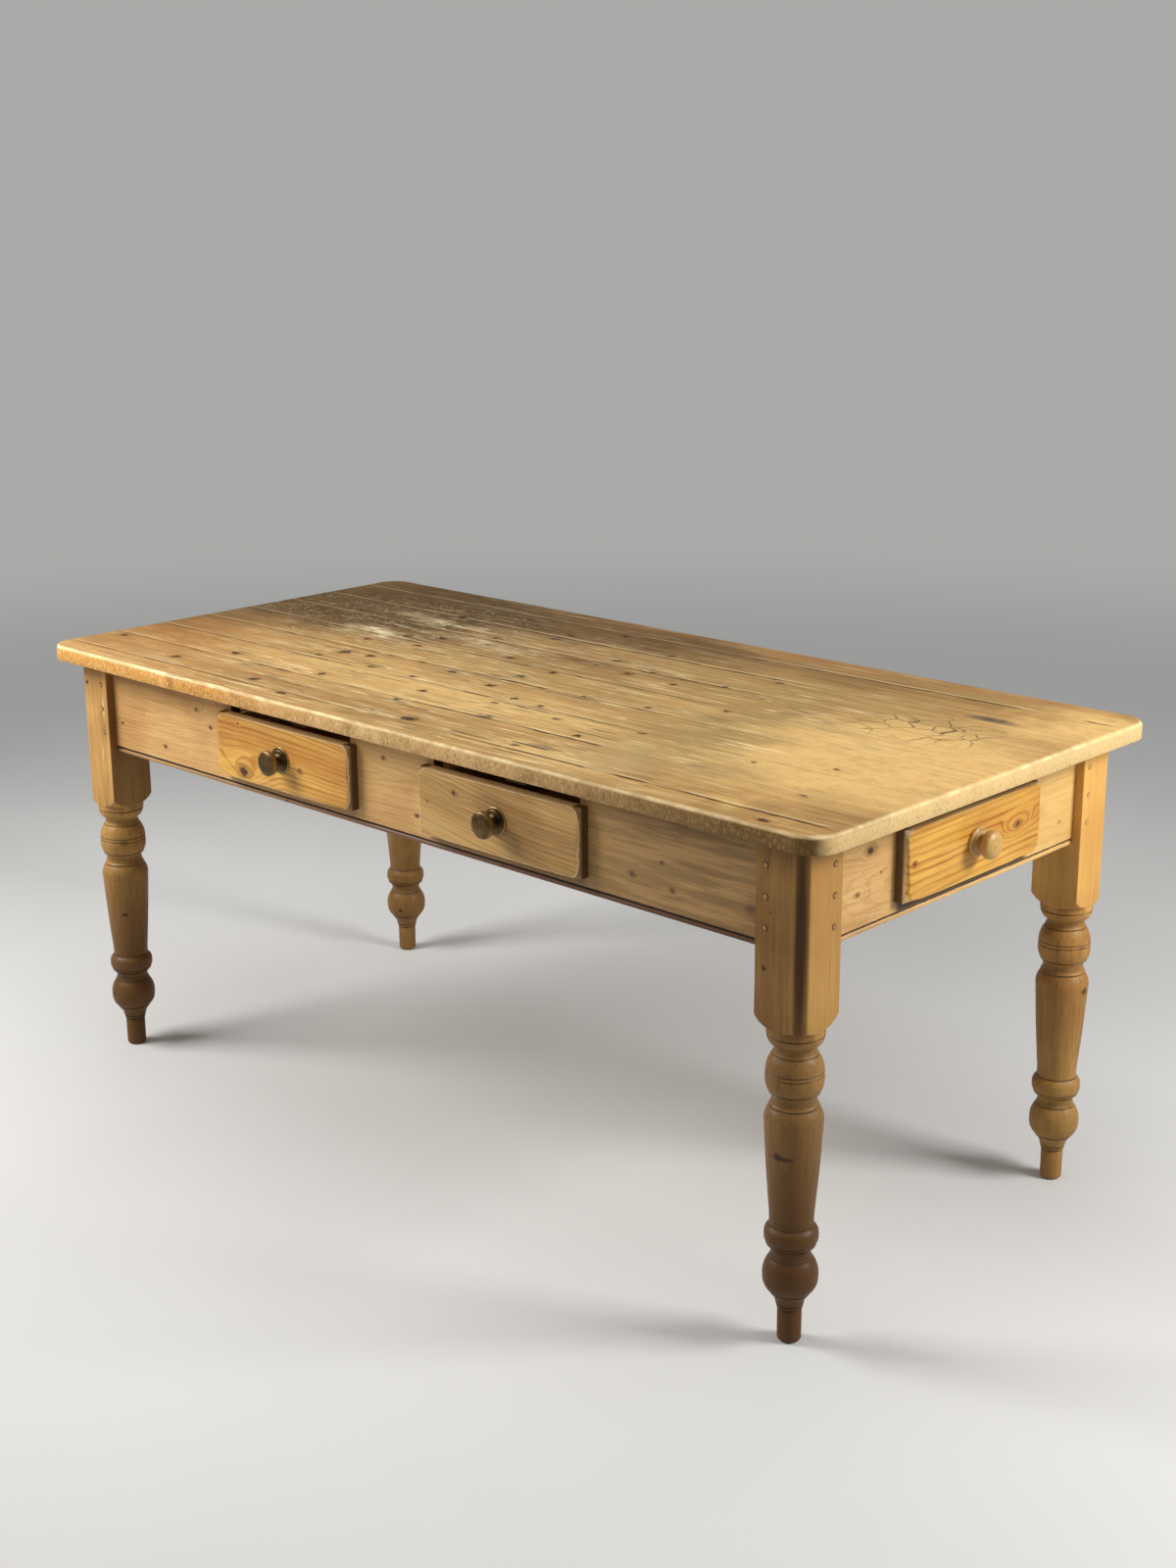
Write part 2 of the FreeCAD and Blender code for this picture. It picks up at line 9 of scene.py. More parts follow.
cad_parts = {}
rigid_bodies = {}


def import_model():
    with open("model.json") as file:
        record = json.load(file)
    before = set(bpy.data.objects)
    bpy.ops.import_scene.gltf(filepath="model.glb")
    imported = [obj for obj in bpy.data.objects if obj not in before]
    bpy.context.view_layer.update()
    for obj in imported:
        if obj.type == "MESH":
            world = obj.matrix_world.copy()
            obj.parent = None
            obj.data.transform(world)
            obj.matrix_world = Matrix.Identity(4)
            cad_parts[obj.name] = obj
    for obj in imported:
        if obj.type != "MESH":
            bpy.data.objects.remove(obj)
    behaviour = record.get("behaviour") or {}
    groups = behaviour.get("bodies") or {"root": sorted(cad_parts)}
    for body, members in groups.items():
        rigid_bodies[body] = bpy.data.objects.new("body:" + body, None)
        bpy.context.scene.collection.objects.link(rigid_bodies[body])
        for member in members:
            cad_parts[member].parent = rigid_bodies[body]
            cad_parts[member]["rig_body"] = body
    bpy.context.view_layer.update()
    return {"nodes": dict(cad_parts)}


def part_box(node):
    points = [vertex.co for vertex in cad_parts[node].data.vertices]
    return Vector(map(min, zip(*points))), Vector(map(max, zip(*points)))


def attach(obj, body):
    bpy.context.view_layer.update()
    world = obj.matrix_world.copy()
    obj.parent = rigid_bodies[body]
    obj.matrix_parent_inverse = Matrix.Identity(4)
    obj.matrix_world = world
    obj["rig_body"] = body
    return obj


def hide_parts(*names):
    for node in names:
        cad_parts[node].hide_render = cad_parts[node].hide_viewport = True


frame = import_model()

# Looks of a pine kitchen table. Metres, in the frame of the CAD model: X along the table, Y to the back,
# Z up. Small sizes are written in millimetres and multiplied by MM.
MM = 0.001

# Places read from the frame
TOP_LOW, TOP_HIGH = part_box("top_board_5")
TABLE_HEIGHT = TOP_HIGH.z
LEG_LENGTH = TOP_LOW.z
HALF_LENGTH = TOP_HIGH.x
HALF_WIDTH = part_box("top_board_9")[1].y
BOARD_COUNT = 9
RAIL_LOW, RAIL_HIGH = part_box("front_rail")
LONG_RAIL_FACE = -RAIL_LOW.y
END_RAIL_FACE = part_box("right_end_rail")[1].x

# Camera: where it stands, the way it looks and how it is turned about that way
CAMERA_PLACE = Vector((2.42096, -2.46991, 1.58592))
CAMERA_WAY = Vector((-0.66193, 0.69652, -0.27695))
CAMERA_ROLL = -0.0057
CAMERA_LENS = 32.474
CAMERA_FILM = 24.0


def middle_of(node, axis):
    """Middle of a node's box along the axis x, y or z."""
    low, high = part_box(node)
    return (getattr(low, axis) + getattr(high, axis)) / 2


# Nodes ------------------------------------------------------------------------------------------------

class Graph:
    """Adds nodes to one tree. Each method returns the socket that carries its result."""

    def __init__(self, tree):
        self.tree = tree

    def add(self, kind, inputs=(), **settings):
        node = self.tree.nodes.new(kind)
        for name, value in settings.items():
            setattr(node, name, value)
        for socket, value in (inputs.items() if isinstance(inputs, dict) else enumerate(inputs)):
            self.feed(node.inputs[socket], value)
        return node

    def feed(self, socket, value):
        """Links a socket's result, or sets a plain value."""
        if isinstance(value, bpy.types.NodeSocket):
            self.tree.links.new(value, socket)
        else:
            socket.default_value = value

    def group(self, tree, **inputs):
        return self.add("ShaderNodeGroup", inputs, node_tree=tree).outputs

    # Numbers

    def math(self, operation, *values):
        return self.add("ShaderNodeMath", values, operation=operation).outputs[0]

    def fold(self, operation, total, *values):
        """The operation on the first two values, then on its result and the next one, and so on."""
        for value in values:
            total = self.math(operation, total, value)
        return total

    def plus(self, *values):
        return self.fold("ADD", *values)

    def minus(self, first, second):
        return self.math("SUBTRACT", first, second)

    def product(self, *values):
        return self.fold("MULTIPLY", *values)

    def quotient(self, first, second):
        return self.math("DIVIDE", first, second)

    def size(self, value):
        """The value without its sign."""
        return self.math("ABSOLUTE", value)

    def largest(self, *values):
        return self.fold("MAXIMUM", *values)

    def smallest(self, *values):
        return self.fold("MINIMUM", *values)

    def ramp(self, value, low, high, start=0.0, end=1.0):
        """Value mapped from low..high to start..end with soft ends, and held beyond them."""
        values = [value, low, high, start, end]
        return self.add("ShaderNodeMapRange", values, interpolation_type="SMOOTHSTEP").outputs[0]

    def fall(self, value, low, high, top=1.0):
        """top up to low, falling to 0 at high."""
        return self.ramp(value, low, high, top, 0.0)

    def near(self, value, place, inner, outer, top=1.0):
        """top where value is within inner of place, falling to 0 at outer from it."""
        return self.fall(self.size(self.minus(value, place)), inner, outer, top)

    # Vectors

    def vector(self, operation, *values):
        node = self.add("ShaderNodeVectorMath", values, operation=operation)
        return node.outputs["Value" if operation == "LENGTH" else "Vector"]

    def times(self, vector, *scale):
        return self.vector("MULTIPLY", vector, scale * 3 if len(scale) == 1 else scale)

    def offset(self, point, origin):
        return self.vector("SUBTRACT", point, origin)

    def axes(self, vector):
        return list(self.add("ShaderNodeSeparateXYZ", [vector]).outputs)

    def join(self, x, y, z):
        return self.add("ShaderNodeCombineXYZ", [x, y, z]).outputs[0]

    def length(self, x, y, z=0.0):
        return self.vector("LENGTH", self.join(x, y, z))

    # Noise. scale is bumps per metre: one number, or one for each axis

    def noise(self, point, *scale, detail=2.0, roughness=0.5, output="Fac"):
        """Soft random values about 0.5."""
        vector = self.times(point, *scale) if scale else point
        settings = {"Vector": vector, "Scale": 1.0, "Detail": detail, "Roughness": roughness}
        return self.add("ShaderNodeTexNoise", settings).outputs[output]

    def drift(self, point, *scale, detail=2.0):
        """Three noises between about -0.5 and 0.5."""
        return self.offset(self.noise(point, *scale, detail=detail, output="Color"), (0.5, 0.5, 0.5))

    def ragged(self, value, point, scale, width):
        """Value shifted by noise, within about half of width either way."""
        return self.plus(value, self.product(self.minus(self.noise(point, scale), 0.5), width))

    # Colours

    def mix(self, share, first, second, blend="MIX"):
        node = self.add("ShaderNodeMix", data_type="RGBA", blend_type=blend)
        sockets = {socket.identifier: socket for socket in node.inputs}
        for name, value in (("Factor_Float", share), ("A_Color", first), ("B_Color", second)):
            self.feed(sockets[name], value)
        return next(socket for socket in node.outputs if socket.identifier == "Result_Color")

    def coat(self, color, tint, *shares, blend="MIX"):
        """Color covered with tint, as far as all the shares allow."""
        return self.mix(self.product(*shares), color, tint, blend)

    def patch(self, point, center, size, inner):
        """An oval patch, 1 out to the inner share of its half sizes and 0 from its outline on."""
        return self.group(patch_group, Point=point, Centre=center, Size=size, Inner=inner)["Patch"]


def node_group(inputs, outputs):
    """Turns the function below it into a node group. The function returns the outputs' values by name."""
    def make(build):
        tree = bpy.data.node_groups.new(build.__name__, "ShaderNodeTree")
        for side, sockets in (("INPUT", inputs), ("OUTPUT", outputs)):
            for name, kind in sockets.items():
                tree.interface.new_socket(name=name, in_out=side, socket_type="NodeSocket" + kind)
        g = Graph(tree)
        results = build(g, g.add("NodeGroupInput").outputs)
        g.add("NodeGroupOutput", results)
        return tree
    return make


def rgb(red, green, blue):
    """A colour as seen on screen, 0 to 255, as a linear colour with alpha."""
    def linear(value):
        value /= 255
        return value / 12.92 if value <= 0.04045 else ((value + 0.055) / 1.055) ** 2.4
    return (linear(red), linear(green), linear(blue), 1.0)


# Parts of the wood's pattern. X runs along the grain, Y across the face, Z into the wood --------------

KNOT_STATE = dict(Point="Vector", Core="Float", Halo="Float", Rings="Float", Eye="Float")


@node_group({**KNOT_STATE, "Centre": "Vector", "Radius": "Float", "Swell": "Float"}, KNOT_STATE)
def knot_group(g, given):
    """One knot: bends the grain round itself and adds its dark core, its halo and closed rings round it.

    Lengths are in the knot's own radius. Swell is how many growth rings close round the knot.
    """
    point, center = given["Point"], given["Centre"]
    x, y, _ = g.axes(g.offset(point, center))
    along, across = g.quotient(x, given["Radius"]), g.quotient(y, given["Radius"])
    away = g.length(g.product(along, 0.68), across)
    bend = g.quotient(4.0, g.math("POWER", g.largest(away, 0.1), 2.0))
    bend = g.product(g.smallest(bend, 1.0), g.fall(away, 3.0, 9.0))
    wobble = g.ramp(g.noise(point, 120.0), 0.3, 0.7, 0.6, 1.45)
    darkness = g.ramp(g.noise(center, 61.0), 0.35, 0.6, 0.75, 1.0)
    core = g.product(g.fall(g.product(away, wobble), 0.62, 1.08), darkness)
    halo = g.fall(away, 0.9, 2.4)
    tail = g.product(g.fall(g.size(along), 1.0, 5.0), g.fall(g.size(across), 0.1, 0.8))
    rings = g.ramp(g.math("SINE", g.product(away, 14.0)), -1.0, 1.0)
    reach = g.length(g.product(along, 0.42), across)
    return {
        "Point": g.offset(point, g.join(0.0, g.product(y, bend), 0.0)),
        "Core": g.largest(given["Core"], core),
        "Halo": g.largest(given["Halo"], halo, tail),
        "Rings": g.largest(given["Rings"], g.product(rings, core)),
        "Eye": g.plus(given["Eye"], g.ramp(reach, 0.0, 6.0, given["Swell"], 0.0)),
    }


@node_group(
    dict(Point="Vector", Seed="Vector", Pith="Vector", Ring="Float", Wander="Float", Eye="Float"),
    dict(Late="Float", Fine="Float", Streak="Float", Tone="Float", Band="Float"),
)
def grain_group(g, given):
    """Growth rings cut by the piece's surface, and the fibres that run along them.

    The rings are round the Pith's line; Wander is how far that line strays, and Eye adds rings at a knot.
    """
    _, y, z = g.axes(given["Point"])
    point = g.vector("ADD", given["Point"], given["Seed"])
    wander_y, wander_z, tone = g.axes(g.drift(point, 1.6, 5.0, 5.0, detail=1.5))
    pith_y, pith_z, _ = g.axes(given["Pith"])
    far_y = g.plus(g.minus(y, pith_y), g.product(wander_y, given["Wander"]))
    far_z = g.plus(g.minus(z, pith_z), g.product(wander_z, given["Wander"]))
    rings = g.quotient(g.length(0.0, far_y, far_z), given["Ring"])
    phase = g.plus(rings, g.product(g.noise(point, 14.0, 60.0, 60.0), 0.5), given["Eye"])
    uneven = g.noise(g.join(g.product(phase, 0.45), 3.7, 1.3), detail=1.0)
    phase = g.plus(phase, g.product(uneven, 1.6))
    share = g.math("FRACT", phase)
    late = g.product(g.ramp(share, 0.45, 0.9), g.fall(share, 0.92, 1.0))
    strength = g.noise(g.join(g.math("FLOOR", phase), 8.1, 2.4), detail=0.0)
    faded = g.ramp(g.noise(point, 4.0, 18.0, 18.0), 0.34, 0.6, 0.45, 1.0)
    return {
        "Late": g.product(late, g.ramp(strength, 0.3, 0.7, 0.5, 1.0), faded),
        "Fine": g.noise(point, 14.0, 520.0, 520.0, roughness=0.6),
        "Streak": g.noise(point, 8.0, 190.0, 190.0, detail=4.0, roughness=0.65),
        "Tone": g.ramp(tone, -0.25, 0.25),
        "Band": g.noise(point, 1.4, 30.0, 30.0),
    }


@node_group(dict(Point="Vector", Centre="Vector", Size="Vector", Inner="Float"), dict(Patch="Float"))
def patch_group(g, given):
    """A soft oval patch, 1 inside and 0 outside."""
    way = g.vector("DIVIDE", g.offset(given["Point"], given["Centre"]), given["Size"])
    return {"Patch": g.fall(g.vector("LENGTH", way), given["Inner"], 1.0)}


@node_group(dict(Point="Vector", Low="Vector", High="Vector"), dict(Distance="Float"))
def edge_group(g, given):
    """Distance of a point on a box's surface to the nearest edge of the box."""
    low = g.axes(g.offset(given["Point"], given["Low"]))
    high = g.axes(g.offset(given["High"], given["Point"]))
    a, b, c = [g.size(g.smallest(*pair)) for pair in zip(low, high)]
    return {"Distance": g.largest(g.smallest(a, b), g.smallest(g.largest(a, b), c))}


@node_group(dict(Point="Vector", Half="Vector", Corner="Float"), dict(Inwards="Float"))
def rim_group(g, given):
    """Distance inwards from the outline of a round-cornered rectangle, centred on the Z axis."""
    x, y, _ = g.axes(g.vector("ABSOLUTE", given["Point"]))
    half_x, half_y, _ = g.axes(given["Half"])
    over_x = g.plus(g.minus(x, half_x), given["Corner"])
    over_y = g.plus(g.minus(y, half_y), given["Corner"])
    outside = g.length(g.largest(over_x, 0.0), g.largest(over_y, 0.0))
    inside = g.smallest(g.largest(over_x, over_y), 0.0)
    return {"Inwards": g.minus(given["Corner"], g.plus(outside, inside))}


# Pine -------------------------------------------------------------------------------------------------

# Colours of early and late wood, how strongly the rings show, their spacing in mm and how far they wander in
# metres, how strongly dark and pale streaks show, roughness of the smoothest and the roughest places, shine
# and relief
LOOKS = {
    "top": dict(early=rgb(196, 156, 96), late=rgb(134, 94, 48), rings=0.3, ring=3.2, wander=0.13,
                streaks=0.55, pale=0.4, rough=(0.46, 0.62), shine=0.12, bump=0.7),
    "rail": dict(early=rgb(222, 180, 116), late=rgb(170, 122, 66), rings=0.45, ring=5.0, wander=0.10,
                 streaks=0.35, pale=0.25, rough=(0.44, 0.6), shine=0.35, bump=0.5),
    "leg": dict(early=rgb(226, 178, 98), late=rgb(154, 106, 50), rings=0.4, ring=3.4, wander=0.03,
                streaks=0.4, pale=0.15, rough=(0.4, 0.56), shine=0.22, bump=0.5),
    "orange": dict(early=rgb(228, 180, 88), late=rgb(166, 98, 30), rings=1.0, ring=8.0, wander=0.06,
                   streaks=0.3, pale=0.2, rough=(0.38, 0.54), shine=0.28, bump=0.5),
    "brown": dict(early=rgb(216, 174, 108), late=rgb(134, 94, 44), rings=0.7, ring=6.0, wander=0.07,
                  streaks=0.25, pale=0.2, rough=(0.4, 0.56), shine=0.28, bump=0.5),
    "yellow": dict(early=rgb(240, 196, 90), late=rgb(170, 94, 18), rings=1.0, ring=8.5, wander=0.06,
                   streaks=0.2, pale=0.2, rough=(0.38, 0.54), shine=0.28, bump=0.5),
    "inner": dict(early=rgb(204, 170, 120), late=rgb(170, 128, 78), rings=0.5, ring=3.6, wander=0.05,
                  streaks=0.35, pale=0.1, rough=(0.68, 0.84), shine=0.2, bump=0.7),
    "knob": dict(early=rgb(210, 170, 98), late=rgb(168, 126, 66), rings=0.4, ring=2.4, wander=0.01,
                 streaks=0.3, pale=0.1, rough=(0.32, 0.44), shine=0.3, bump=0.3),
}
KNOT_DARK = rgb(48, 28, 12)
KNOT_WARM = rgb(84, 48, 22)
HALO = rgb(128, 84, 40)
# Dark colour for grime, and for painted shade under the top and in the legs' hollows
GRIME_AND_SHADE = rgb(58, 42, 26)
WORN = rgb(232, 202, 148)

# Heights of the relief: hard late wood, fibres, and the knots, which stand below the rest
LATE_RELIEF = 0.12 * MM
FIBRE_RELIEF = 0.08 * MM
KNOT_RELIEF = -0.25 * MM


def new_material(name):
    """An empty material, the graph that fills it, and the point of the frame that is being shaded."""
    material = bpy.data.materials.new(name)
    material.use_nodes = True
    material.node_tree.nodes.clear()
    g = Graph(material.node_tree)
    return material, g, g.add("ShaderNodeTexCoord").outputs["Object"]


def finish_material(g, color, roughness, height, bump, shine=0.5, metallic=0.0):
    """Connects colour, roughness and relief, in metres, to a surface."""
    relief = g.add("ShaderNodeBump", {"Height": height, "Strength": bump, "Distance": 1.0}).outputs[0]
    shader = g.add("ShaderNodeBsdfPrincipled", {
        "Base Color": color, "Roughness": roughness, "Specular IOR Level": shine, "Metallic": metallic,
        "Normal": relief,
    })
    g.add("ShaderNodeOutputMaterial", [shader.outputs[0]])


def finish_wood(g, look, color, streak, height):
    """Finishes wood in the look's own roughness, relief and shine."""
    finish_material(g, color, g.ramp(streak, 0.3, 0.7, *look["rough"]), height, look["bump"], look["shine"])


def along_grain(g, point, origin, order):
    """Point measured from origin with its axes in the order along the grain, across it, into the wood."""
    axes = dict(zip("xyz", g.axes(g.offset(point, tuple(origin)))))
    return g.join(*[axes[letter] for letter in order])


def wood(g, look, local, seed, pith, knots=()):
    """Clean wood: colour, relief, streaks and the knots' cores. A knot is (along, across, radius, swell)."""
    state = {"Point": local, "Core": 0.0, "Halo": 0.0, "Rings": 0.0, "Eye": 0.0}
    for along, across, radius, swell in knots:
        out = g.group(knot_group, Centre=(along, across, 0.0), Radius=radius, Swell=swell, **state)
        state = {name: out[name] for name in KNOT_STATE}
    place = (seed * 1.713 % 7.0, seed * 0.377 % 3.0, seed * 0.913 % 5.0)
    grain = g.group(grain_group, Point=state["Point"], Seed=place, Pith=(*pith, 0.0),
                    Ring=look["ring"] * MM, Wander=look["wander"], Eye=state["Eye"])
    late, streak = look["late"], grain["Streak"]
    color = g.coat(look["early"], late, grain["Late"], look["rings"])
    color = g.coat(color, late, grain["Tone"], 0.3)
    color = g.coat(color, late, g.ramp(grain["Band"], 0.4, 0.72, 0.0, 0.4))
    color = g.coat(color, late, g.ramp(streak, 0.5, 0.72, 0.0, look["streaks"]), blend="MULTIPLY")
    color = g.coat(color, WORN, g.fall(streak, 0.32, 0.46, look["pale"]))
    color = g.coat(color, late, g.ramp(grain["Fine"], 0.35, 0.7, 0.0, 0.3))
    color = g.coat(color, HALO, state["Halo"], 0.6)
    color = g.coat(color, g.mix(state["Rings"], KNOT_DARK, KNOT_WARM), state["Core"], 0.94)
    height = g.plus(g.product(grain["Late"], LATE_RELIEF), g.product(grain["Fine"], FIBRE_RELIEF),
                    g.product(state["Core"], KNOT_RELIEF))
    return color, height, streak, state["Core"]


def cloudy(g, point, look, color, strength=0.35):
    """Broad uneven darkening, as old wax gives."""
    cloud = g.noise(point, 7.0, detail=3.0)
    return g.coat(color, look["late"], g.ramp(cloud, 0.4, 0.75, 0.0, strength), blend="MULTIPLY")


def pine(name, kind, low, high, order, knots=(), seed=1.0, pith=(0.01, -0.08), wear=0.5, extra=None):
    """Pine for a piece that fills a box: rings, knots, specks of grime, and edges worn pale.

    extra(graph, point, color) may add what only this piece has.
    """
    look = LOOKS[kind]
    material, g, point = new_material(name)
    local = along_grain(g, point, [(a + b) / 2 for a, b in zip(low, high)], order)
    color, height, streak, _ = wood(g, look, local, seed, pith, knots)
    color = cloudy(g, point, look, color)
    color = g.coat(color, GRIME_AND_SHADE, g.ramp(g.noise(point, 260.0, detail=1.0), 0.68, 0.76, 0.0, 0.35))
    away = g.group(edge_group, Point=point, Low=tuple(low), High=tuple(high))["Distance"]
    away = g.minus(away, g.product(g.noise(point, 120.0), 2.4 * MM))
    color = g.coat(color, WORN, g.fall(away, 0.0, 1.6 * MM, wear))
    if extra:
        color = extra(g, point, color)
    finish_wood(g, look, color, streak, height)
    return material


# Meshes -----------------------------------------------------------------------------------------------

def mesh_object(name, points, faces, material=None, sharp=40.0):
    """An object from points in metres. Edges that turn more than sharp degrees stay crisp."""
    mesh = bpy.data.meshes.new(name)
    mesh.from_pydata([tuple(p) for p in points], [], [tuple(int(i) for i in f) for f in faces])
    piece = bpy.data.objects.new(name, mesh)
    bpy.context.scene.collection.objects.link(piece)
    if material:
        mesh.materials.append(material)
    shade(mesh, sharp)
    return piece


def shade(mesh, sharp):
    """Turns the faces outwards and shades them smooth, but for edges that turn more than sharp degrees."""
    form = bmesh.new()
    form.from_mesh(mesh)
    bmesh.ops.recalc_face_normals(form, faces=form.faces)
    for face in form.faces:
        face.smooth = True
    for edge in form.edges:
        edge.smooth = not (edge.is_manifold and edge.calc_face_angle() > math.radians(sharp))
    form.to_mesh(mesh)
    form.free()


def stand_in(piece, node):
    """piece replaces a node of the frame: it rides on the node's body."""
    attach(piece, frame["nodes"][node]["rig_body"])
    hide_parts(node)


def grid_faces(rows, columns, closed=False, start=0):
    """Quads of a grid of points stored row by row; a closed grid joins its last column to its first."""
    row = np.arange(rows - 1)[:, None] * columns
    column = np.arange(columns if closed else columns - 1)[None, :]
    beside = (column + 1) % columns
    quads = np.stack([row + column, row + beside, row + columns + beside, row + columns + column], -1)
    return (quads.reshape(-1, 4) + start).tolist()


def soft_noise(points, size, seed):
    """Soft random values between about -1 and 1 at points, with bumps of about the given size."""
    random = np.random.default_rng(seed)
    total = np.zeros(len(points))
    for octave in range(3):
        for _ in range(5):
            way = random.normal(size=points.shape[1])
            way /= np.linalg.norm(way)
            stretch = 2 * math.pi * 2 ** octave / size * random.uniform(0.6, 1.4)
            total += np.sin(points @ way * stretch + random.uniform(0, 2 * math.pi)) / 2 ** octave
    return total / 4.5


def outline_of_turning(stretches, step):
    """Points along a turning, given as (radius, height, bulge): bulge is how far a stretch stands out
    from the straight line to its end. Curves get a point every step."""
    points = [np.array(stretches[0][:2], float)]
    for radius, height, bulge in stretches[1:]:
        start, end = points[-1], np.array([radius, height], float)
        way = end - start
        length = np.hypot(*way)
        out = np.array([way[1], -way[0]]) / length
        count = max(1, math.ceil(length / step)) if bulge else 1
        for share in np.arange(1, count + 1) / count:
            points.append(start + way * share + out * bulge * 4 * share * (1 - share))
    return np.array(points)


LATHE_COUNT = 96


def lathe(profile):
    """Closed turning about Z. A profile that keeps off the axis is closed on itself."""
    on_axis = profile[0][0] < 1e-9
    rings = profile[1:-1] if on_axis else profile
    angle = np.arange(LATHE_COUNT) * 2 * math.pi / LATHE_COUNT
    points = np.array([[r * c, r * s, z] for r, z in rings for c, s in zip(np.cos(angle), np.sin(angle))])
    faces = grid_faces(len(rings), LATHE_COUNT, closed=True)
    last = (len(rings) - 1) * LATHE_COUNT
    beside = (np.arange(LATHE_COUNT) + 1) % LATHE_COUNT
    if not on_axis:
        faces += [[last + i, last + j, j, i] for i, j in enumerate(beside)]
        return points, faces
    tips = [[0, 0, profile[0][1]], [0, 0, profile[-1][1]]]
    foot, head = len(points), len(points) + 1
    faces += [[foot, j, i] for i, j in enumerate(beside)]
    faces += [[head, last + i, last + j] for i, j in enumerate(beside)]
    return np.vstack([points, tips]), faces


def box_cutter(low, high):
    """A box between two corners."""
    corners = [(x, y, z) for z in (low[2], high[2]) for y in (low[1], high[1]) for x in (low[0], high[0])]
    faces = [(0, 2, 3, 1), (4, 5, 7, 6), (0, 1, 5, 4), (2, 6, 7, 3), (0, 4, 6, 2), (1, 3, 7, 5)]
    return mesh_object("cutter", corners, faces)


def rod_cutter(start, end, radius, sides=32):
    """A round rod between two points."""
    way = Vector(end) - Vector(start)
    turn = way.to_track_quat("Z", "Y").to_matrix()
    angles = np.arange(sides) * 2 * math.pi / sides
    ring = [turn @ Vector((radius * math.cos(angle), radius * math.sin(angle), 0)) for angle in angles]
    points = [Vector(place) + spoke for place in (start, end) for spoke in ring]
    faces = [[i, (i + 1) % sides, sides + (i + 1) % sides, sides + i] for i in range(sides)]
    faces += [list(range(sides)), list(range(sides, 2 * sides))]
    return mesh_object("cutter", points, faces)


def carve(piece, cutters, sharp=40.0):
    """Cuts closed meshes out of a piece and removes them."""
    for cutter in cutters:
        cut = piece.modifiers.new("cut", "BOOLEAN")
        cut.operation = "DIFFERENCE"
        cut.solver = "EXACT"
        cut.object = cutter
    shape = piece.evaluated_get(bpy.context.evaluated_depsgraph_get())
    carved = bpy.data.meshes.new_from_object(shape)
    piece.modifiers.clear()
    piece.data = carved
    shade(carved, sharp)
    for cutter in cutters:
        bpy.data.meshes.remove(cutter.data)


def soften(node, material, width=0.5):
    """Gives a CAD node its material and eased edges; width in millimetres."""
    piece = frame["nodes"][node]
    piece.data.materials[0] = material
    weld = piece.modifiers.new("weld", "WELD")
    weld.merge_threshold = 0.01 * MM
    ease = piece.modifiers.new("ease", "BEVEL")
    ease.width = width * MM
    ease.segments = 2
    ease.limit_method = "ANGLE"
    ease.angle_limit = math.radians(50)


# Top --------------------------------------------------------------------------------------------------

CORNER = 45 * MM
ARRIS = 8 * MM

# Knots of the top: place along and across the table and radius, in millimetres
TOP_KNOTS = [
    (-482, 242, 10), (-437, 163, 12), (-300, 150, 6), (-215, 218, 6), (-212, 260, 6), (-8, 160, 6),
    (-15, 115, 5), (70, 103, 6), (96, 138, 5), (178, 95, 5), (252, 138, 5), (-370, 85, 7), (-270, 103, 5),
    (-435, 55, 6), (-164, 55, 6), (-357, 15, 6), (-28, 23, 6), (-468, -10, 6), (-50, -32, 7), (128, -67, 6),
    (252, -50, 5), (-160, -87, 6), (-40, -112, 7), (-415, -107, 10), (-357, -102, 6), (-433, -145, 6),
    (-292, -152, 7), (-185, -155, 6), (52, -150, 7), (122, -157, 6), (50, -190, 5), (196, -200, 6),
    (-95, -212, 7), (353, -175, 5), (-552, -243, 8), (-313, -245, 7), (105, -263, 11), (-85, -278, 6),
    (290, -250, 6), (-828, -287, 7), (-608, -330, 7), (25, -351, 10), (258, -351, 6), (-368, -345, 7),
    (-255, -377, 6), (360, 15, 5), (302, 218, 5), (37, 253, 6), (-135, 322, 6), (-375, 315, 6),
    (690, -140, 4), (737, -275, 4), (768, -400, 5), (580, -190, 4),
]
TOP_KNOT_SWELL = 1.5

# Open stretches of the joints: number of the joint from the front, and limits along the table in millimetres
OPEN_JOINTS = [
    (8, 150, 715), (8, 805, 850), (7, -600, 300), (6, -360, -330), (6, -290, -220), (6, 60, 100),
    (6, 150, 260), (5, -260, -200), (5, 10, 40), (4, -130, 50), (4, -270, -240), (4, 230, 270),
    (3, -420, -380), (3, -50, 20), (2, -460, -360), (2, -60, 110), (2, 210, 360), (1, 250, 330),
    (1, 360, 420), (1, 470, 540), (1, 600, 850),
]
HAIR_LINE = 0.06 * MM
OPENING = 0.4 * MM

# Limits along the table between which the joints, plain to see on the left, grow faint
JOINTS_CLOSE = (0.20, 0.50)

# Distances from an outer edge and from a joint at which the mesh has a line of points, in millimetres
EDGE_STEPS = (0, 0.3, 1.0, 2.0, 3.2, 4.8, 6.5, 8.2, 11, 15)
JOINT_STEPS = (0, 0.35, 0.9, 2.0, 5.0)
END_STEPS = (*EDGE_STEPS, 22, 32, 44)
TOP_STEP = 7 * MM
END_ZONE = CORNER + 20 * MM


def board_edges():
    """Where the boards begin, from the front, and the top's back edge."""
    low = [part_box(f"top_board_{number}")[0].y for number in range(1, BOARD_COUNT + 1)]
    return low + [HALF_WIDTH]


def half_length_at(y):
    """Half length of the top at y, inside its round corners."""
    over = np.clip(np.abs(y) - (HALF_WIDTH - CORNER), 0, CORNER)
    return HALF_LENGTH - CORNER + np.sqrt(CORNER ** 2 - over ** 2)


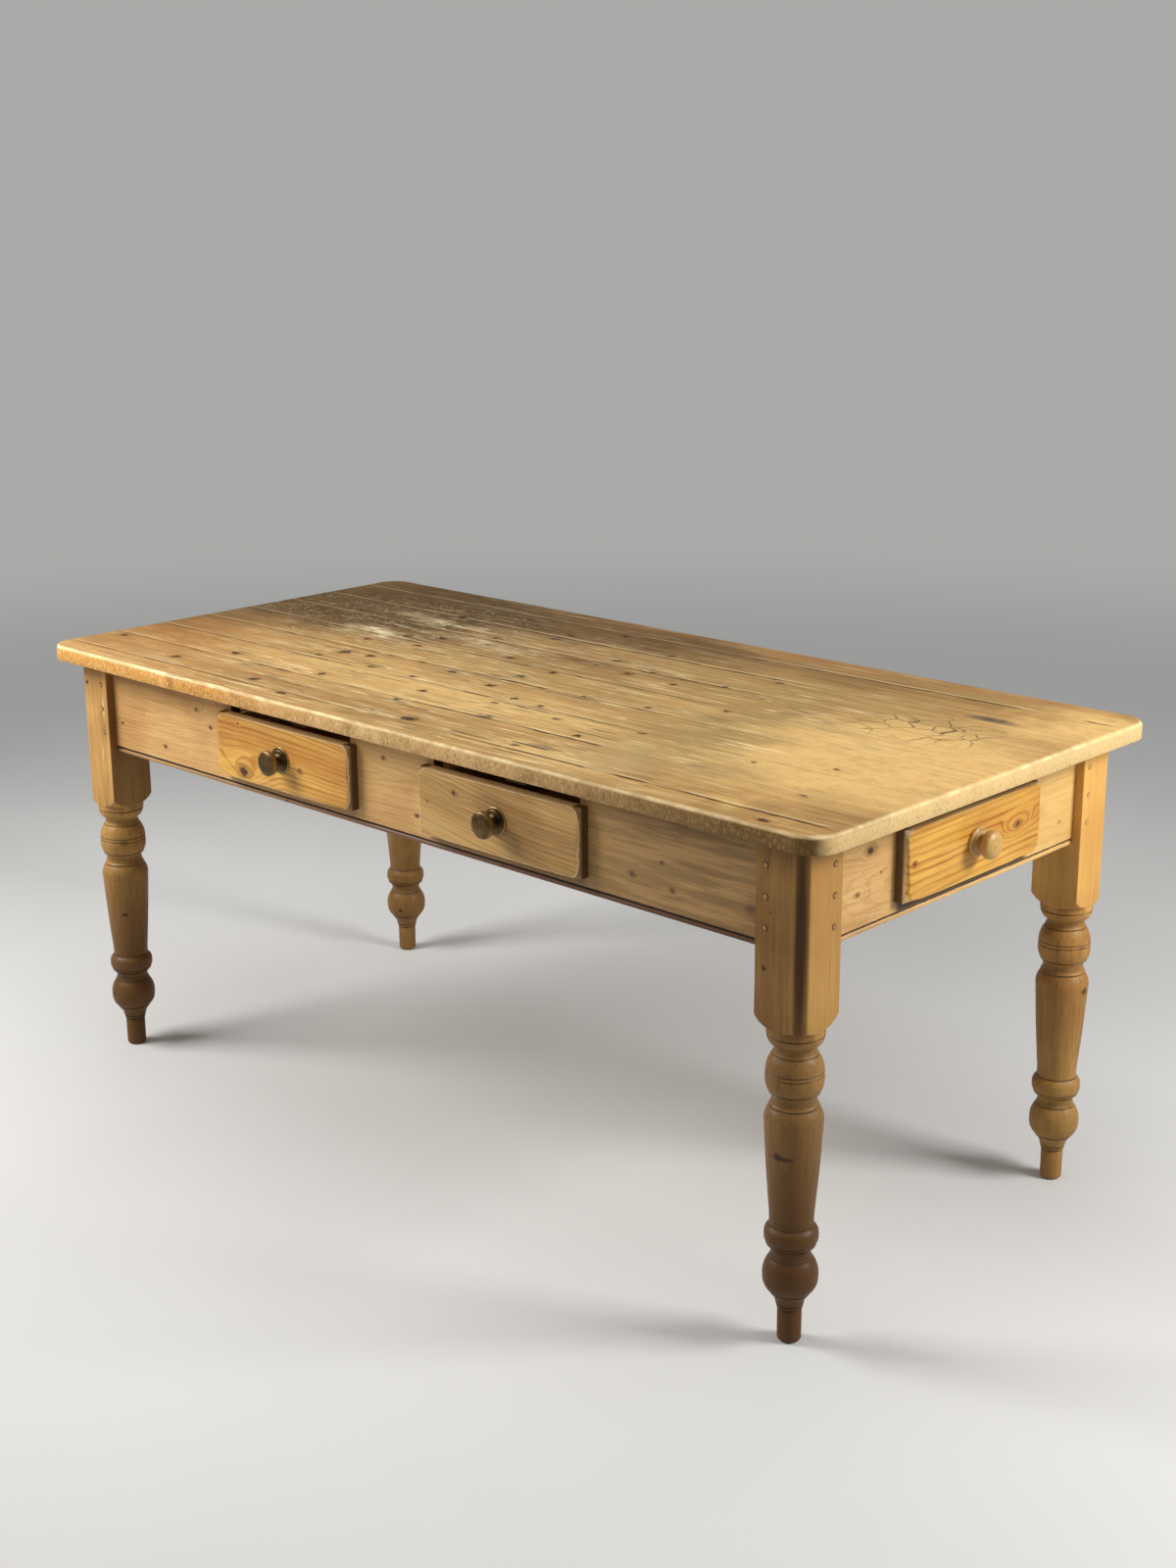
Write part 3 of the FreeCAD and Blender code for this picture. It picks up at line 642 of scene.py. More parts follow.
def depth_inwards(x, y):
    """Distance of a point of the top inwards from its outline."""
    over_x = np.abs(x) - (HALF_LENGTH - CORNER)
    over_y = np.abs(y) - (HALF_WIDTH - CORNER)
    outside = np.hypot(np.maximum(over_x, 0), np.maximum(over_y, 0))
    return np.maximum(CORNER - outside - np.minimum(np.maximum(over_x, over_y), 0), 0)


def stations(low, high, low_steps, high_steps):
    """Places from low to high, close together near each end."""
    first = [low + s * MM for s in low_steps]
    last = [high - s * MM for s in reversed(high_steps)]
    count = max(2, round((last[0] - first[-1]) / TOP_STEP) + 1)
    return np.array(first[:-1] + list(np.linspace(first[-1], last[0], count)) + last[1:])


def board_grid(low, high, number):
    """Plan of one board: x and y of its grid of points, each row as long as the top is there."""
    across = stations(low, high, EDGE_STEPS if number == 1 else JOINT_STEPS,
                      EDGE_STEPS if number == BOARD_COUNT else JOINT_STEPS)
    inner = HALF_LENGTH - END_ZONE
    middle = stations(-inner, inner, (0,), (0,))
    shares = np.minimum(np.array(END_STEPS) * MM / END_ZONE, 1.0)
    rows = []
    for reach in half_length_at(across):
        end = reach - shares * (reach - inner)
        rows.append(np.concatenate([-end, middle, end[::-1]]))
    x = np.array(rows)
    return x, np.repeat(across[:, None], x.shape[1], 1)


def joint_gap(joint, x):
    """Half width of the gap at a joint: a hair line, wider where the joint has opened."""
    gap = np.full(len(x), HAIR_LINE)
    for number, low, high in OPEN_JOINTS:
        if number == joint:
            rise = np.clip(np.minimum(x - low * MM, high * MM - x) / (25 * MM), 0, 1)
            gap += OPENING * rise * (0.7 + 0.3 * np.sin(x * 61 + number))
    return gap


def worn_fall(x, y, number):
    """How far a point of the face lies below the flat: the rounded arris and the dips of wear."""
    plan = np.column_stack([x, y])
    depth = depth_inwards(x, y)
    arris = ARRIS * (0.93 + 0.07 * soft_noise(plan, 90 * MM, number))
    arc = arris - np.sqrt(np.maximum(arris ** 2 - (arris - depth) ** 2, 0))
    broad = (0.5 + 0.5 * soft_noise(plan, 0.5, 77)) * 0.5 * MM
    small = (0.5 + 0.5 * soft_noise(plan, 60 * MM, 5)) * 0.15 * MM
    return np.where(depth < arris, arc, 0) + np.maximum(broad + small, 0)


def top_board(number, edges):
    """Closed mesh of one board of the top."""
    low, high = edges[number - 1:number + 1]
    grid_x, grid_y = board_grid(low, high, number)
    rows, columns = grid_x.shape
    x, y = grid_x.ravel(), grid_y.ravel()
    fall = worn_fall(x, y, number)
    shift = np.zeros(len(x))
    for joint, edge, side in ((number - 1, low, 1), (number, high, -1)):
        if 0 < joint < BOARD_COUNT:
            away = np.abs(y - edge)
            gap = joint_gap(joint, x)
            groove = 0.35 * MM * np.interp(x, JOINTS_CLOSE, (1, 0.3)) * (1 + gap / (0.3 * MM))
            fall += groove * np.exp(-away / (0.5 * MM))
            shift += side * gap * np.clip(1 - away / (4 * MM), 0, 1)
    ease = 1.5 * MM * np.exp(-depth_inwards(x, y) / MM)
    upper = np.column_stack([x, y + shift, TABLE_HEIGHT - fall])
    lower = np.column_stack([x, y + shift, LEG_LENGTH + ease])
    faces = grid_faces(rows, columns) + [face[::-1] for face in grid_faces(rows, columns, start=len(x))]
    index = np.arange(rows * columns).reshape(rows, columns)
    rim = np.concatenate([index[0], index[1:, -1], index[-1, -2::-1], index[-2:0:-1, 0]])
    ahead = np.roll(rim, -1)
    faces += np.stack([rim, rim + len(x), ahead + len(x), ahead], -1).tolist()
    return np.vstack([upper, lower]), faces


# Worn and stained places of the top. The brown places on the left and at the back are partly patina and
# partly painted shade, and the pale places at the right end partly wear and partly painted light.
# For each kind how evenly it covers, and its places: centre, half size, share that is whole, strength. Metres
TOP_PATCHES_AND_LIGHT = {
    "brown": (0.85, [((-0.64, 0.24), (0.48, 0.36), 0.4, 1.0), ((-0.90, 0.0), (0.30, 0.42), 0.2, 0.8),
              ((-0.20, 0.34), (0.56, 0.16), 0.3, 0.85), ((0.30, 0.33), (0.50, 0.12), 0.1, 0.4),
              ((-0.10, 0.12), (0.50, 0.20), 0.0, 0.4)]),
    "rust": (0.4, [((-0.76, -0.20), (0.28, 0.24), 0.2, 0.75), ((-0.45, -0.38), (0.40, 0.05), 0.1, 0.35),
             ((0.30, 0.40), (0.8, 0.045), 0.3, 0.3), ((0.60, 0.13), (0.16, 0.05), 0.1, 0.35)]),
    "grey": (0.6, [((0.44, -0.10), (0.20, 0.40), 0.1, 0.75), ((0.25, 0.18), (0.40, 0.14), 0.2, 0.5),
             ((-0.05, -0.02), (0.50, 0.12), 0.1, 0.45), ((0.55, 0.22), (0.20, 0.14), 0.1, 0.25)]),
    "pale": (0.6, [((-0.02, -0.20), (0.60, 0.16), 0.1, 0.55), ((0.72, -0.06), (0.30, 0.34), 0.4, 0.9),
             ((0.62, 0.12), (0.11, 0.07), 0.1, 0.5), ((0.82, 0.30), (0.16, 0.14), 0.3, 0.9),
             ((0.66, -0.36), (0.10, 0.05), 0.2, 0.7), ((0.30, -0.36), (0.24, 0.06), 0.2, 0.6)]),
    "bare": (0.2, [((-0.50, 0.045), (0.12, 0.05), 0.0, 1.0), ((-0.44, 0.19), (0.22, 0.04), 0.0, 0.7),
             ((-0.30, 0.10), (0.20, 0.03), 0.0, 0.4)]),
    "dusty": (0.55, [((0.42, -0.31), (0.17, 0.09), 0.1, 0.3)]),
    "smoked": (0.4, [((0.45, 0.36), (0.35, 0.05), 0.1, 0.4),
                     ((0.05, -0.30), (0.14, 0.03), 0.0, 0.4)]),
}
PATCH_AND_LIGHT_COLORS = {
    "brown": rgb(76, 52, 18), "rust": rgb(146, 98, 48), "grey": rgb(152, 126, 76),
    "pale": rgb(220, 180, 112), "bare": rgb(224, 204, 160), "smoked": rgb(140, 106, 60),
    "dusty": rgb(200, 174, 126),
}
# Small dark stains, written the same way, and how evenly they cover
TOP_STAINS = [((0.703, 0.243), (0.062, 0.017), 0.3, 1.0), ((-0.47, -0.287), (0.035, 0.012), 0.0, 0.6),
              ((0.295, -0.325), (0.03, 0.010), 0.0, 0.6), ((0.74, -0.34), (0.05, 0.008), 0.0, 0.4),
              ((0.16, 0.03), (0.09, 0.012), 0.0, 0.4), ((-0.20, 0.22), (0.12, 0.016), 0.0, 0.5)]
STAIN_EVENNESS = 0.7
# Cross-grain marks at the front right corner: centre, half size, strength
TOP_BANDS = [((0.735, -0.360), (0.036, 0.050), 0.3), ((0.850, -0.360), (0.040, 0.040), 0.35),
             ((0.660, -0.395), (0.020, 0.026), 0.4)]
# Centre and half size of the scratched place on the left and of the crazed place near the right end
SCRATCHED = ((-0.55, 0.15, 0.0), (0.5, 0.28, 1.0))
CRAZED = ((0.655, 0.130, 0.0), (0.17, 0.11, 1.0))
STAIN = rgb(84, 70, 54)
SCUFF = rgb(244, 220, 168)
BAND_COLOR = rgb(150, 104, 58)
FIBRE_DARK = rgb(168, 126, 78)
CRACK_RELIEF = 0.3 * MM


def strayed(g, point, drift, x, y):
    """A point of the top's plan, moved about by up to half of x and y."""
    return g.vector("ADD", point, g.times(drift, x, y, 0.0))


def patches(g, color, point, even, places, tint, broken):
    """Lays soft patches over color; broken thins them out where they aren't even."""
    for center, size, inner, strength in places:
        share = g.patch(point, (*center, 0.0), (*size, 1.0), inner)
        color = g.coat(color, tint, share, g.ramp(broken, 0.35, 0.6, strength * even, strength))
    return color


def saw_bands(g, point, close, color):
    """Bands of fine marks across the grain."""
    saw = g.noise(point, 260.0, 9.0, 9.0)
    for center, (half_x, half_y), strength in TOP_BANDS:
        over, up, _ = g.axes(g.vector("ABSOLUTE", g.offset(close, (*center, 0.0))))
        inside = g.product(g.fall(over, half_x * 0.9, half_x), g.fall(up, half_y * 0.7, half_y))
        color = g.coat(color, BAND_COLOR, inside, g.ramp(saw, 0.35, 0.6, strength * 0.5, strength))
    return color


def scratches(g, flat, loose, broken, color):
    """Pale lines that wander every way."""
    line = g.near(g.noise(flat, 24.0, 30.0, 0.0, detail=3.0, roughness=0.7), 0.5, 0.0, 0.011)
    share = g.ramp(broken, 0.4, 0.6, 0.0, 0.8)
    return g.coat(color, PATCH_AND_LIGHT_COLORS["bare"], g.patch(loose, *SCRATCHED, 0.4), line, share)


def checks(g, point, middle):
    """Short dry cracks along the grain."""
    line = g.ramp(g.noise(point, 5.0, 150.0, 5.0, detail=1.5), 0.635, 0.675)
    return g.product(line, g.ramp(g.noise(point, 9.0, 20.0, 9.0), 0.36, 0.55), middle)


def crackle(g, cells, close, broken):
    """Cracks between the cells of crazed varnish."""
    voronoi = {"Vector": g.times(cells, 18.0, 26.0, 1.0), "Scale": 1.0}
    edge = g.add("ShaderNodeTexVoronoi", voronoi, feature="DISTANCE_TO_EDGE").outputs["Distance"]
    return g.product(g.fall(edge, 0.0, 0.045, 0.9), g.patch(close, *CRAZED, 0.4), g.ramp(broken, 0.35, 0.5))


@node_group(dict(Point="Vector", Color="Color"), dict(Color="Color", Cracks="Float"))
def top_wear_group(g, given):
    """Stains, worn patches, cracks and checks that cross the boards of the top; the brown patches on the left
    are partly painted shade and the pale ones at the right end partly painted light.
    """
    point = given["Point"]
    flat = g.times(point, 1.0, 1.0, 0.0)
    drift = g.drift(flat, 7.0, 11.0, 0.0, detail=4.0)
    loose = strayed(g, flat, drift, 0.30, 0.16)
    close = strayed(g, flat, drift, 0.06, 0.02)
    broken = g.noise(point, 38.0, 75.0, 38.0, detail=5.0, roughness=0.7)
    mottle = g.noise(flat, 9.0, 15.0, 0.0, detail=5.0, roughness=0.6)
    color = g.coat(given["Color"], PATCH_AND_LIGHT_COLORS["grey"], g.ramp(mottle, 0.48, 0.7, 0.0, 0.5))
    x, y, _ = g.axes(point)
    middle = g.product(g.ramp(g.size(x), 0.45, 0.75, 1.0, 0.15), g.ramp(y, 0.1, 0.3, 1.0, 0.3))
    fibre = g.noise(point, 4.0, 115.0, 4.0, detail=3.0, roughness=0.7)
    color = g.coat(color, FIBRE_DARK, g.ramp(fibre, 0.5, 0.6, 0.0, 0.25), blend="MULTIPLY")
    color = g.coat(color, WORN, g.fall(fibre, 0.38, 0.46, 0.25), middle)
    # Brown patches on the left partly painted shade, pale ones at the right end partly painted light
    for kind, (even, places) in TOP_PATCHES_AND_LIGHT.items():
        color = patches(g, color, loose, even, places, PATCH_AND_LIGHT_COLORS[kind], broken)
    color = patches(g, color, close, STAIN_EVENNESS, TOP_STAINS, STAIN, broken)
    color = saw_bands(g, point, close, color)
    scuff = g.ramp(g.noise(point, 5.0, 150.0, 5.0, detail=3.0, roughness=0.65), 0.58, 0.63)
    color = g.coat(color, SCUFF, scuff, middle, 0.75)
    color = scratches(g, flat, loose, broken, color)
    crazed = crackle(g, strayed(g, flat, drift, 0.05, 0.05), close, broken)
    cracks = g.largest(checks(g, point, middle), crazed)
    return {"Color": g.coat(color, GRIME_AND_SHADE, cracks), "Cracks": cracks}


JOINT_DIRT = rgb(70, 46, 22)


def joint_grime(g, point, color, joint, edge):
    """Dirt along one joint, dark where the joint is open, with a rubbed line beside it."""
    x, y, _ = g.axes(point)
    share = g.ramp(g.noise(point, 6.0, 0.0, 0.0), 0.4, 0.6, 0.3, 0.65)
    share = g.product(share, g.ramp(x, *JOINTS_CLOSE, 1.0, 0.25))
    for number, start, end in OPEN_JOINTS:
        if number == joint:
            middle, half = (start + end) / 2 * MM, (end - start) / 2 * MM
            share = g.largest(share, g.near(x, middle, half - 15 * MM, half + 10 * MM, 0.9))
    away = g.ragged(g.minus(y, edge), point, 5.0, 5 * MM)
    width = g.ramp(g.noise(point, 22.0, 120.0, 22.0), 0.35, 0.65, 2.2 * MM, 6.5 * MM)
    color = g.coat(color, SCUFF, g.near(away, 6.5 * MM, 1.0 * MM, 4.0 * MM, 0.35), share)
    return g.coat(color, JOINT_DIRT, g.fall(g.quotient(g.size(away), width), 0.3, 1.0), share)


EDGE_ORANGE = rgb(208, 148, 70)
EDGE_TAN = rgb(206, 164, 108)
EDGE_BROWN = rgb(98, 70, 34)
EDGE_PALE = rgb(222, 190, 132)
ARRIS_WEAR_AND_HIGHLIGHT = rgb(246, 220, 166)


def edge_wear_and_highlight(g, point, color):
    """Flecked sides, orange to the left and brown near the right corner, and a pale arris, partly rubbed and
    partly a painted highlight.
    """
    x, _, z = g.axes(point)
    inwards = g.group(rim_group, Point=point, Half=(HALF_LENGTH, HALF_WIDTH, 0.0), Corner=CORNER)["Inwards"]
    below = g.minus(TABLE_HEIGHT, z)
    side = g.ramp(below, 3 * MM, 8 * MM)
    right_end = (HALF_LENGTH - 18 * MM, HALF_LENGTH - 2 * MM)
    fleck = g.noise(point, 240.0, 240.0, 150.0, detail=2.5, roughness=0.7)
    blotch = g.noise(point, 34.0, 34.0, 20.0, detail=4.0, roughness=0.6)
    tint = g.mix(g.ramp(x, -0.45, 0.0), EDGE_ORANGE, EDGE_TAN)
    tint = g.coat(tint, EDGE_BROWN, g.ramp(x, 0.15, 0.8))
    tint = g.coat(tint, EDGE_PALE, g.ramp(x, *right_end))
    color = g.coat(color, tint, side, 0.8)
    long_side = g.ramp(x, *right_end, 1.0, 0.2)
    color = g.coat(color, EDGE_BROWN, side, long_side, g.ramp(blotch, 0.45, 0.75, 0.0, 0.4))
    color = g.coat(color, WORN, side, g.ramp(fleck, 0.5, 0.68), g.ramp(x, 0.1, 0.7, 0.6, 0.2))
    color = g.coat(color, EDGE_BROWN, side, g.fall(fleck, 0.3, 0.45, 0.5))
    # The arris is painted pale: partly rubbed wear, partly a painted highlight
    arris = g.product(g.fall(inwards, MM, 7 * MM), g.fall(below, 3 * MM, 7 * MM))
    return g.coat(color, ARRIS_WEAR_AND_HIGHLIGHT, arris, g.ramp(blotch, 0.3, 0.6, 0.95, 0.4))


# How much darker or paler each board is than the mean, from the front one to the back one
BOARD_TONES = (0.0, 0.2, -0.15, 0.12, -0.1, 0.2, 0.0, 0.25, 0.15)


def top_material(number, low, high):
    """Pine of one board, which reaches from low to high across the table."""
    look = LOOKS["top"]
    material, g, point = new_material(f"top_board_{number}_pine")
    middle = (low + high) / 2
    knots = [(x * MM, y * MM - middle, radius * MM, TOP_KNOT_SWELL)
             for x, y, radius in TOP_KNOTS if low < y * MM < high]
    pith = (0.02 * math.sin(number * 2.1), -0.05 - 0.03 * math.cos(number * 1.7))
    local = along_grain(g, point, (0.0, middle, TABLE_HEIGHT), "xyz")
    color, height, streak, core = wood(g, look, local, number * 3.1 + 0.4, pith, knots)
    tone = BOARD_TONES[number - 1]
    color = g.coat(color, look["late"] if tone > 0 else PATCH_AND_LIGHT_COLORS["pale"], abs(tone))
    worn = g.group(top_wear_group, Point=point, Color=color)
    color = worn["Color"]
    for joint, edge in ((number - 1, low), (number, high)):
        if 0 < joint < BOARD_COUNT:
            color = joint_grime(g, point, color, joint, edge)
    color = g.coat(color, KNOT_DARK, core, 0.9)
    color = edge_wear_and_highlight(g, point, color)
    finish_wood(g, look, color, streak, g.minus(height, g.product(worn["Cracks"], CRACK_RELIEF)))
    return material


def make_top():
    edges = board_edges()
    for number in range(1, BOARD_COUNT + 1):
        material = top_material(number, *edges[number - 1:number + 1])
        points, faces = top_board(number, edges)
        piece = mesh_object(f"worn_top_board_{number}", points, faces, material)
        stand_in(piece, f"top_board_{number}")


# Legs -------------------------------------------------------------------------------------------------

LEG_HALF = 41.0
LEG_CHAMFER = 13.5
# The turning from the floor up, in millimetres: radius and height of the end of each stretch, and how far
# it bulges. Short steps are fillets and fine lines.
LEG_TURNING = [
    (0, 0.0, 0), (12.5, 0.0, 0), (17.4, 7.5, 1.9), (17.6, 51.2, 0), (16.7, 52.2, 0), (18.9, 53.2, 0),
    (19.6, 57.3, -0.1), (18.7, 58.3, 0), (20.3, 59.3, 0), (27.6, 74.5, -1.3), (29.4, 77.4, 0.3),
    (28.6, 78.6, 0), (31.6, 80.0, 0), (39.5, 101.0, 2.3), (31.4, 130.0, 2.9), (30.2, 131.4, 0),
    (30.4, 132.8, 0), (28.1, 139.5, -0.5), (33.0, 149.0, -1.4), (32.2, 150.0, 0), (35.2, 151.2, 0),
    (36.2, 154.4, 0), (35.4, 155.1, 0), (36.6, 156.2, 0), (38.4, 165.5, 0.9), (32.6, 180.0, 2.2),
    (31.2, 181.6, 0), (31.9, 200.0, -0.1), (40.4, 318.0, 0.5), (41.0, 333.0, 0.3), (35.3, 359.6, 3.1),
    (34.2, 361.6, 0), (34.8, 363.2, 0), (31.8, 371.5, -1.2), (34.2, 380.6, -1.2), (36.4, 381.8, 0),
    (35.8, 382.7, 0), (37.2, 384.2, 0), (41.0, 403.0, 1.3), (40.95, 407.2, 0), (40.0, 408.1, 0),
    (40.9, 409.0, 0), (40.75, 413.0, 0), (39.8, 413.8, 0), (40.6, 414.6, 0), (33.0, 436.2, 1.6),
    (31.8, 437.4, 0), (32.0, 438.8, 0), (29.3, 446.0, -0.7), (33.6, 452.8, -0.9), (35.6, 453.6, 0),
    (40.4, 465.4, 1.1), (39.4, 466.3, 0), (40.9, 467.4, 0), (41.0, 477.0, 0.3),
]
SHOULDER_FOOT = LEG_TURNING[-1][:2]
SHOULDER_TOP = (60.0, 500.0)
SHOULDER_ROWS = 30
BLOCK_START = 506.0
BLOCK_ROWS = 40
BLOCK_EDGE_BLEND = 1.2
SHOULDER_BLEND = 1.0
POINTS_ROUND_LEG = 132


def smooth_min(first, second, blend):
    """The smaller of two values, with a soft change from one to the other."""
    mix = np.clip(0.5 + 0.5 * (second - first) / blend, 0, 1)
    return second * (1 - mix) + first * mix - blend * mix * (1 - mix)


def chamfer_turn():
    """Angle between the chamfered corner and the edge where the chamfer meets a face."""
    return math.pi / 4 - math.atan2(LEG_HALF - LEG_CHAMFER, LEG_HALF)


def leg_angles(corner):
    """Angles round a leg, close together at the block's edges. corner is the chamfered corner's angle."""
    edges = np.array([chamfer_turn(), -chamfer_turn(), math.pi / 2, math.pi, -math.pi / 2])
    even = np.arange(POINTS_ROUND_LEG) * 2 * math.pi / POINTS_ROUND_LEG
    apart = np.abs((even[:, None] - edges + math.pi) % (2 * math.pi) - math.pi).min(1)
    close = (edges[:, None] + np.radians([-1.7, -0.8, 0, 0.8, 1.7])).ravel()
    return np.sort(np.concatenate([even[apart > math.radians(2.2)], close]) % (2 * math.pi)) + corner


def block_reach(angle, corner):
    """Distance from the axis to the square block's faces, its outer corner taken off."""
    planes = [(side * math.pi / 2, LEG_HALF) for side in range(4)]
    planes.append((corner, (2 * LEG_HALF - LEG_CHAMFER) / math.sqrt(2)))
    reach = np.full(len(angle), 1e3)
    for way, distance in planes:
        facing = np.maximum(np.cos(angle - way), 0.2)
        reach = smooth_min(reach, distance / facing, BLOCK_EDGE_BLEND)
    return reach


def leg_outline():
    """Radius and height of each row of a leg's points. From the shoulder up the block's faces cut it off."""
    foot, top = np.array(SHOULDER_FOOT), np.array(SHOULDER_TOP)
    share = np.linspace(0, 1, SHOULDER_ROWS)[1:, None]
    turn = share * math.pi / 2
    shoulder = foot + (top - foot) * (share + np.hstack([np.sin(turn), 1 - np.cos(turn)])) / 2
    head = np.linspace((SHOULDER_TOP[0], BLOCK_START), (SHOULDER_TOP[0], LEG_LENGTH / MM), BLOCK_ROWS)
    return np.vstack([outline_of_turning(LEG_TURNING, 1.6), shoulder, head])


def turned_leg(corner, seed):
    """Closed mesh of one leg about its own axis, in millimetres."""
    outline = leg_outline()[1:]
    angle = leg_angles(corner)
    block = block_reach(angle, corner)
    rings = []
    for radius, height in outline:
        reach = np.full(len(angle), radius)
        if height > SHOULDER_FOOT[1] - 10:
            reach = smooth_min(reach, block, SHOULDER_BLEND)
        ring = [reach * np.cos(angle), reach * np.sin(angle), np.full(len(angle), height)]
        rings.append(np.column_stack(ring))
    points = np.vstack(rings)
    worn = 0.15 - 0.10 * soft_noise(points, 60.0, seed) - 0.05 * soft_noise(points, 14.0, seed + 1)
    points[:, :2] *= (1 - worn / np.hypot(points[:, 0], points[:, 1]))[:, None]
    points[:, :2] = np.clip(points[:, :2], -LEG_HALF, LEG_HALF)
    count = len(angle)
    faces = grid_faces(len(outline), count, closed=True)
    faces += [list(range(count)), list(range(len(points) - count, len(points)))]
    return points, faces


# Mortises and pegs of the right front leg; the other legs mirror them. Metres
TENON_CENTRE = 26 * MM
TENON_HALF = 5 * MM
MORTISE_DEPTH = 46.5 * MM
MORTISE_HEIGHTS = (600 * MM, 735 * MM)
PEG_EDGE = 16.5 * MM
PEG_BORE = 4.05 * MM
PEG_LENGTH = 42 * MM
PEG_HEIGHTS = (621 * MM, 665 * MM, 709 * MM)
RAIL_SETBACK = 15 * MM


def joinery_cutters(x, y):
    """Cutters for the two mortises and six peg holes of the leg that stands at x, y."""
    side_x, side_y = math.copysign(1, x), math.copysign(1, y)
    half = LEG_HALF * MM

    def place(along_x, along_y, z):
        """A point measured from the leg's outer faces inwards."""
        return (x + side_x * (half - along_x), y + side_y * (half - along_y), z)

    def box(first, second):
        low, high = zip(*[sorted(pair) for pair in zip(first, second)])
        return box_cutter(low, high)

    across = (TENON_CENTRE - TENON_HALF, TENON_CENTRE + TENON_HALF)
    deep = (2 * half - MORTISE_DEPTH, 2 * half + MM)
    low, high = MORTISE_HEIGHTS
    cutters = [
        box(place(deep[0], across[0], low), place(deep[1], across[1], high)),
        box(place(across[0], deep[0], low), place(across[1], deep[1], high)),
    ]
    edge = 2 * half - PEG_EDGE
    for z in PEG_HEIGHTS:
        cutters.append(rod_cutter(place(edge, -MM, z), place(edge, PEG_LENGTH, z), PEG_BORE))
        cutters.append(rod_cutter(place(-MM, edge, z), place(PEG_LENGTH, edge, z), PEG_BORE))
    return cutters


# Heights of the turning's hollows, where grime and painted shade sit, in millimetres: centre and half width
LEG_GRIME_AND_SHADE = [(52.2, 2.6), (58.3, 2.6), (78.8, 2.6), (131.6, 2.2), (138.5, 7.0), (150.2, 1.8), (155.2, 1.4),
             (181.6, 2.0), (361.6, 2.0), (371.5, 7.0), (382.9, 1.9), (408.1, 1.1), (413.8, 1.3), (437.4, 1.8),
             (445.5, 7.0), (453.2, 1.4), (466.3, 1.8)]
# Half width under which such a place is a fine line
FINE_LINE = 3


@node_group(dict(Point="Vector"), dict(Grime="Float"))
def leg_grime_and_shade_group(g, given):
    """Painted shade and grime in the leg's hollows, dark in the fine lines and lighter in the broad coves."""
    point = given["Point"]
    height = g.axes(point)[2]
    total = 0.0
    for line, half in LEG_GRIME_AND_SHADE:
        strength = 0.95 if half < FINE_LINE else 0.4
        total = g.largest(total, g.near(height, line * MM, 0.2 * half * MM, half * MM, strength))
    return {"Grime": g.product(total, g.ramp(g.noise(point, 60.0), 0.3, 0.6, 0.55, 1.0))}


@node_group(dict(Point="Vector"), dict(Distance="Float"))
def peg_group(g, given):
    """Distance to the axis of the nearest peg."""
    x, y, z = g.axes(g.vector("ABSOLUTE", given["Point"]))
    spacing = PEG_HEIGHTS[1] - PEG_HEIGHTS[0]
    step = g.math("WRAP", g.minus(z, PEG_HEIGHTS[0]), spacing / 2, -spacing / 2)
    edge = 2 * LEG_HALF * MM - PEG_EDGE
    front = g.length(g.minus(x, END_RAIL_FACE + RAIL_SETBACK - edge), step)
    side = g.length(g.minus(y, LONG_RAIL_FACE + RAIL_SETBACK - edge), step)
    outside = g.largest(g.minus(PEG_HEIGHTS[0] - 10 * MM, z), g.minus(z, PEG_HEIGHTS[2] + 10 * MM))
    return {"Distance": g.plus(g.smallest(front, side), g.ramp(outside, 0.0, MM))}


def peg_shadow(g, point, color, strength):
    """Dark crescents round the pegs."""
    away = g.ragged(g.group(peg_group, Point=point)["Distance"], point, 300.0, 2.2 * MM)
    return g.coat(color, GRIME_AND_SHADE, g.near(away, 4.1 * MM, 0.3 * MM, 1.3 * MM, strength))


LEG_BROWN_AND_SHADE = rgb(84, 54, 22)
# How brown each leg is at its foot and at its head: partly its own tone, partly painted shade, strongest low
# down and on the front right leg, least on the back right one
LEG_BROWNING_AND_SHADE = {
    "front_right": (1.0, 0.56), "back_right": (0.55, 0.0),
    "back_left": (0.8, 0.45), "front_left": (0.95, 0.2),
}
# Tints of the legs' marks: dark knots, painted shade, paler spots, and honey for painted light
MARK_AND_LIGHT_TINTS = {"dark": KNOT_DARK, "shade": rgb(64, 40, 16), "pale": WORN, "honey": rgb(234, 176, 92)}
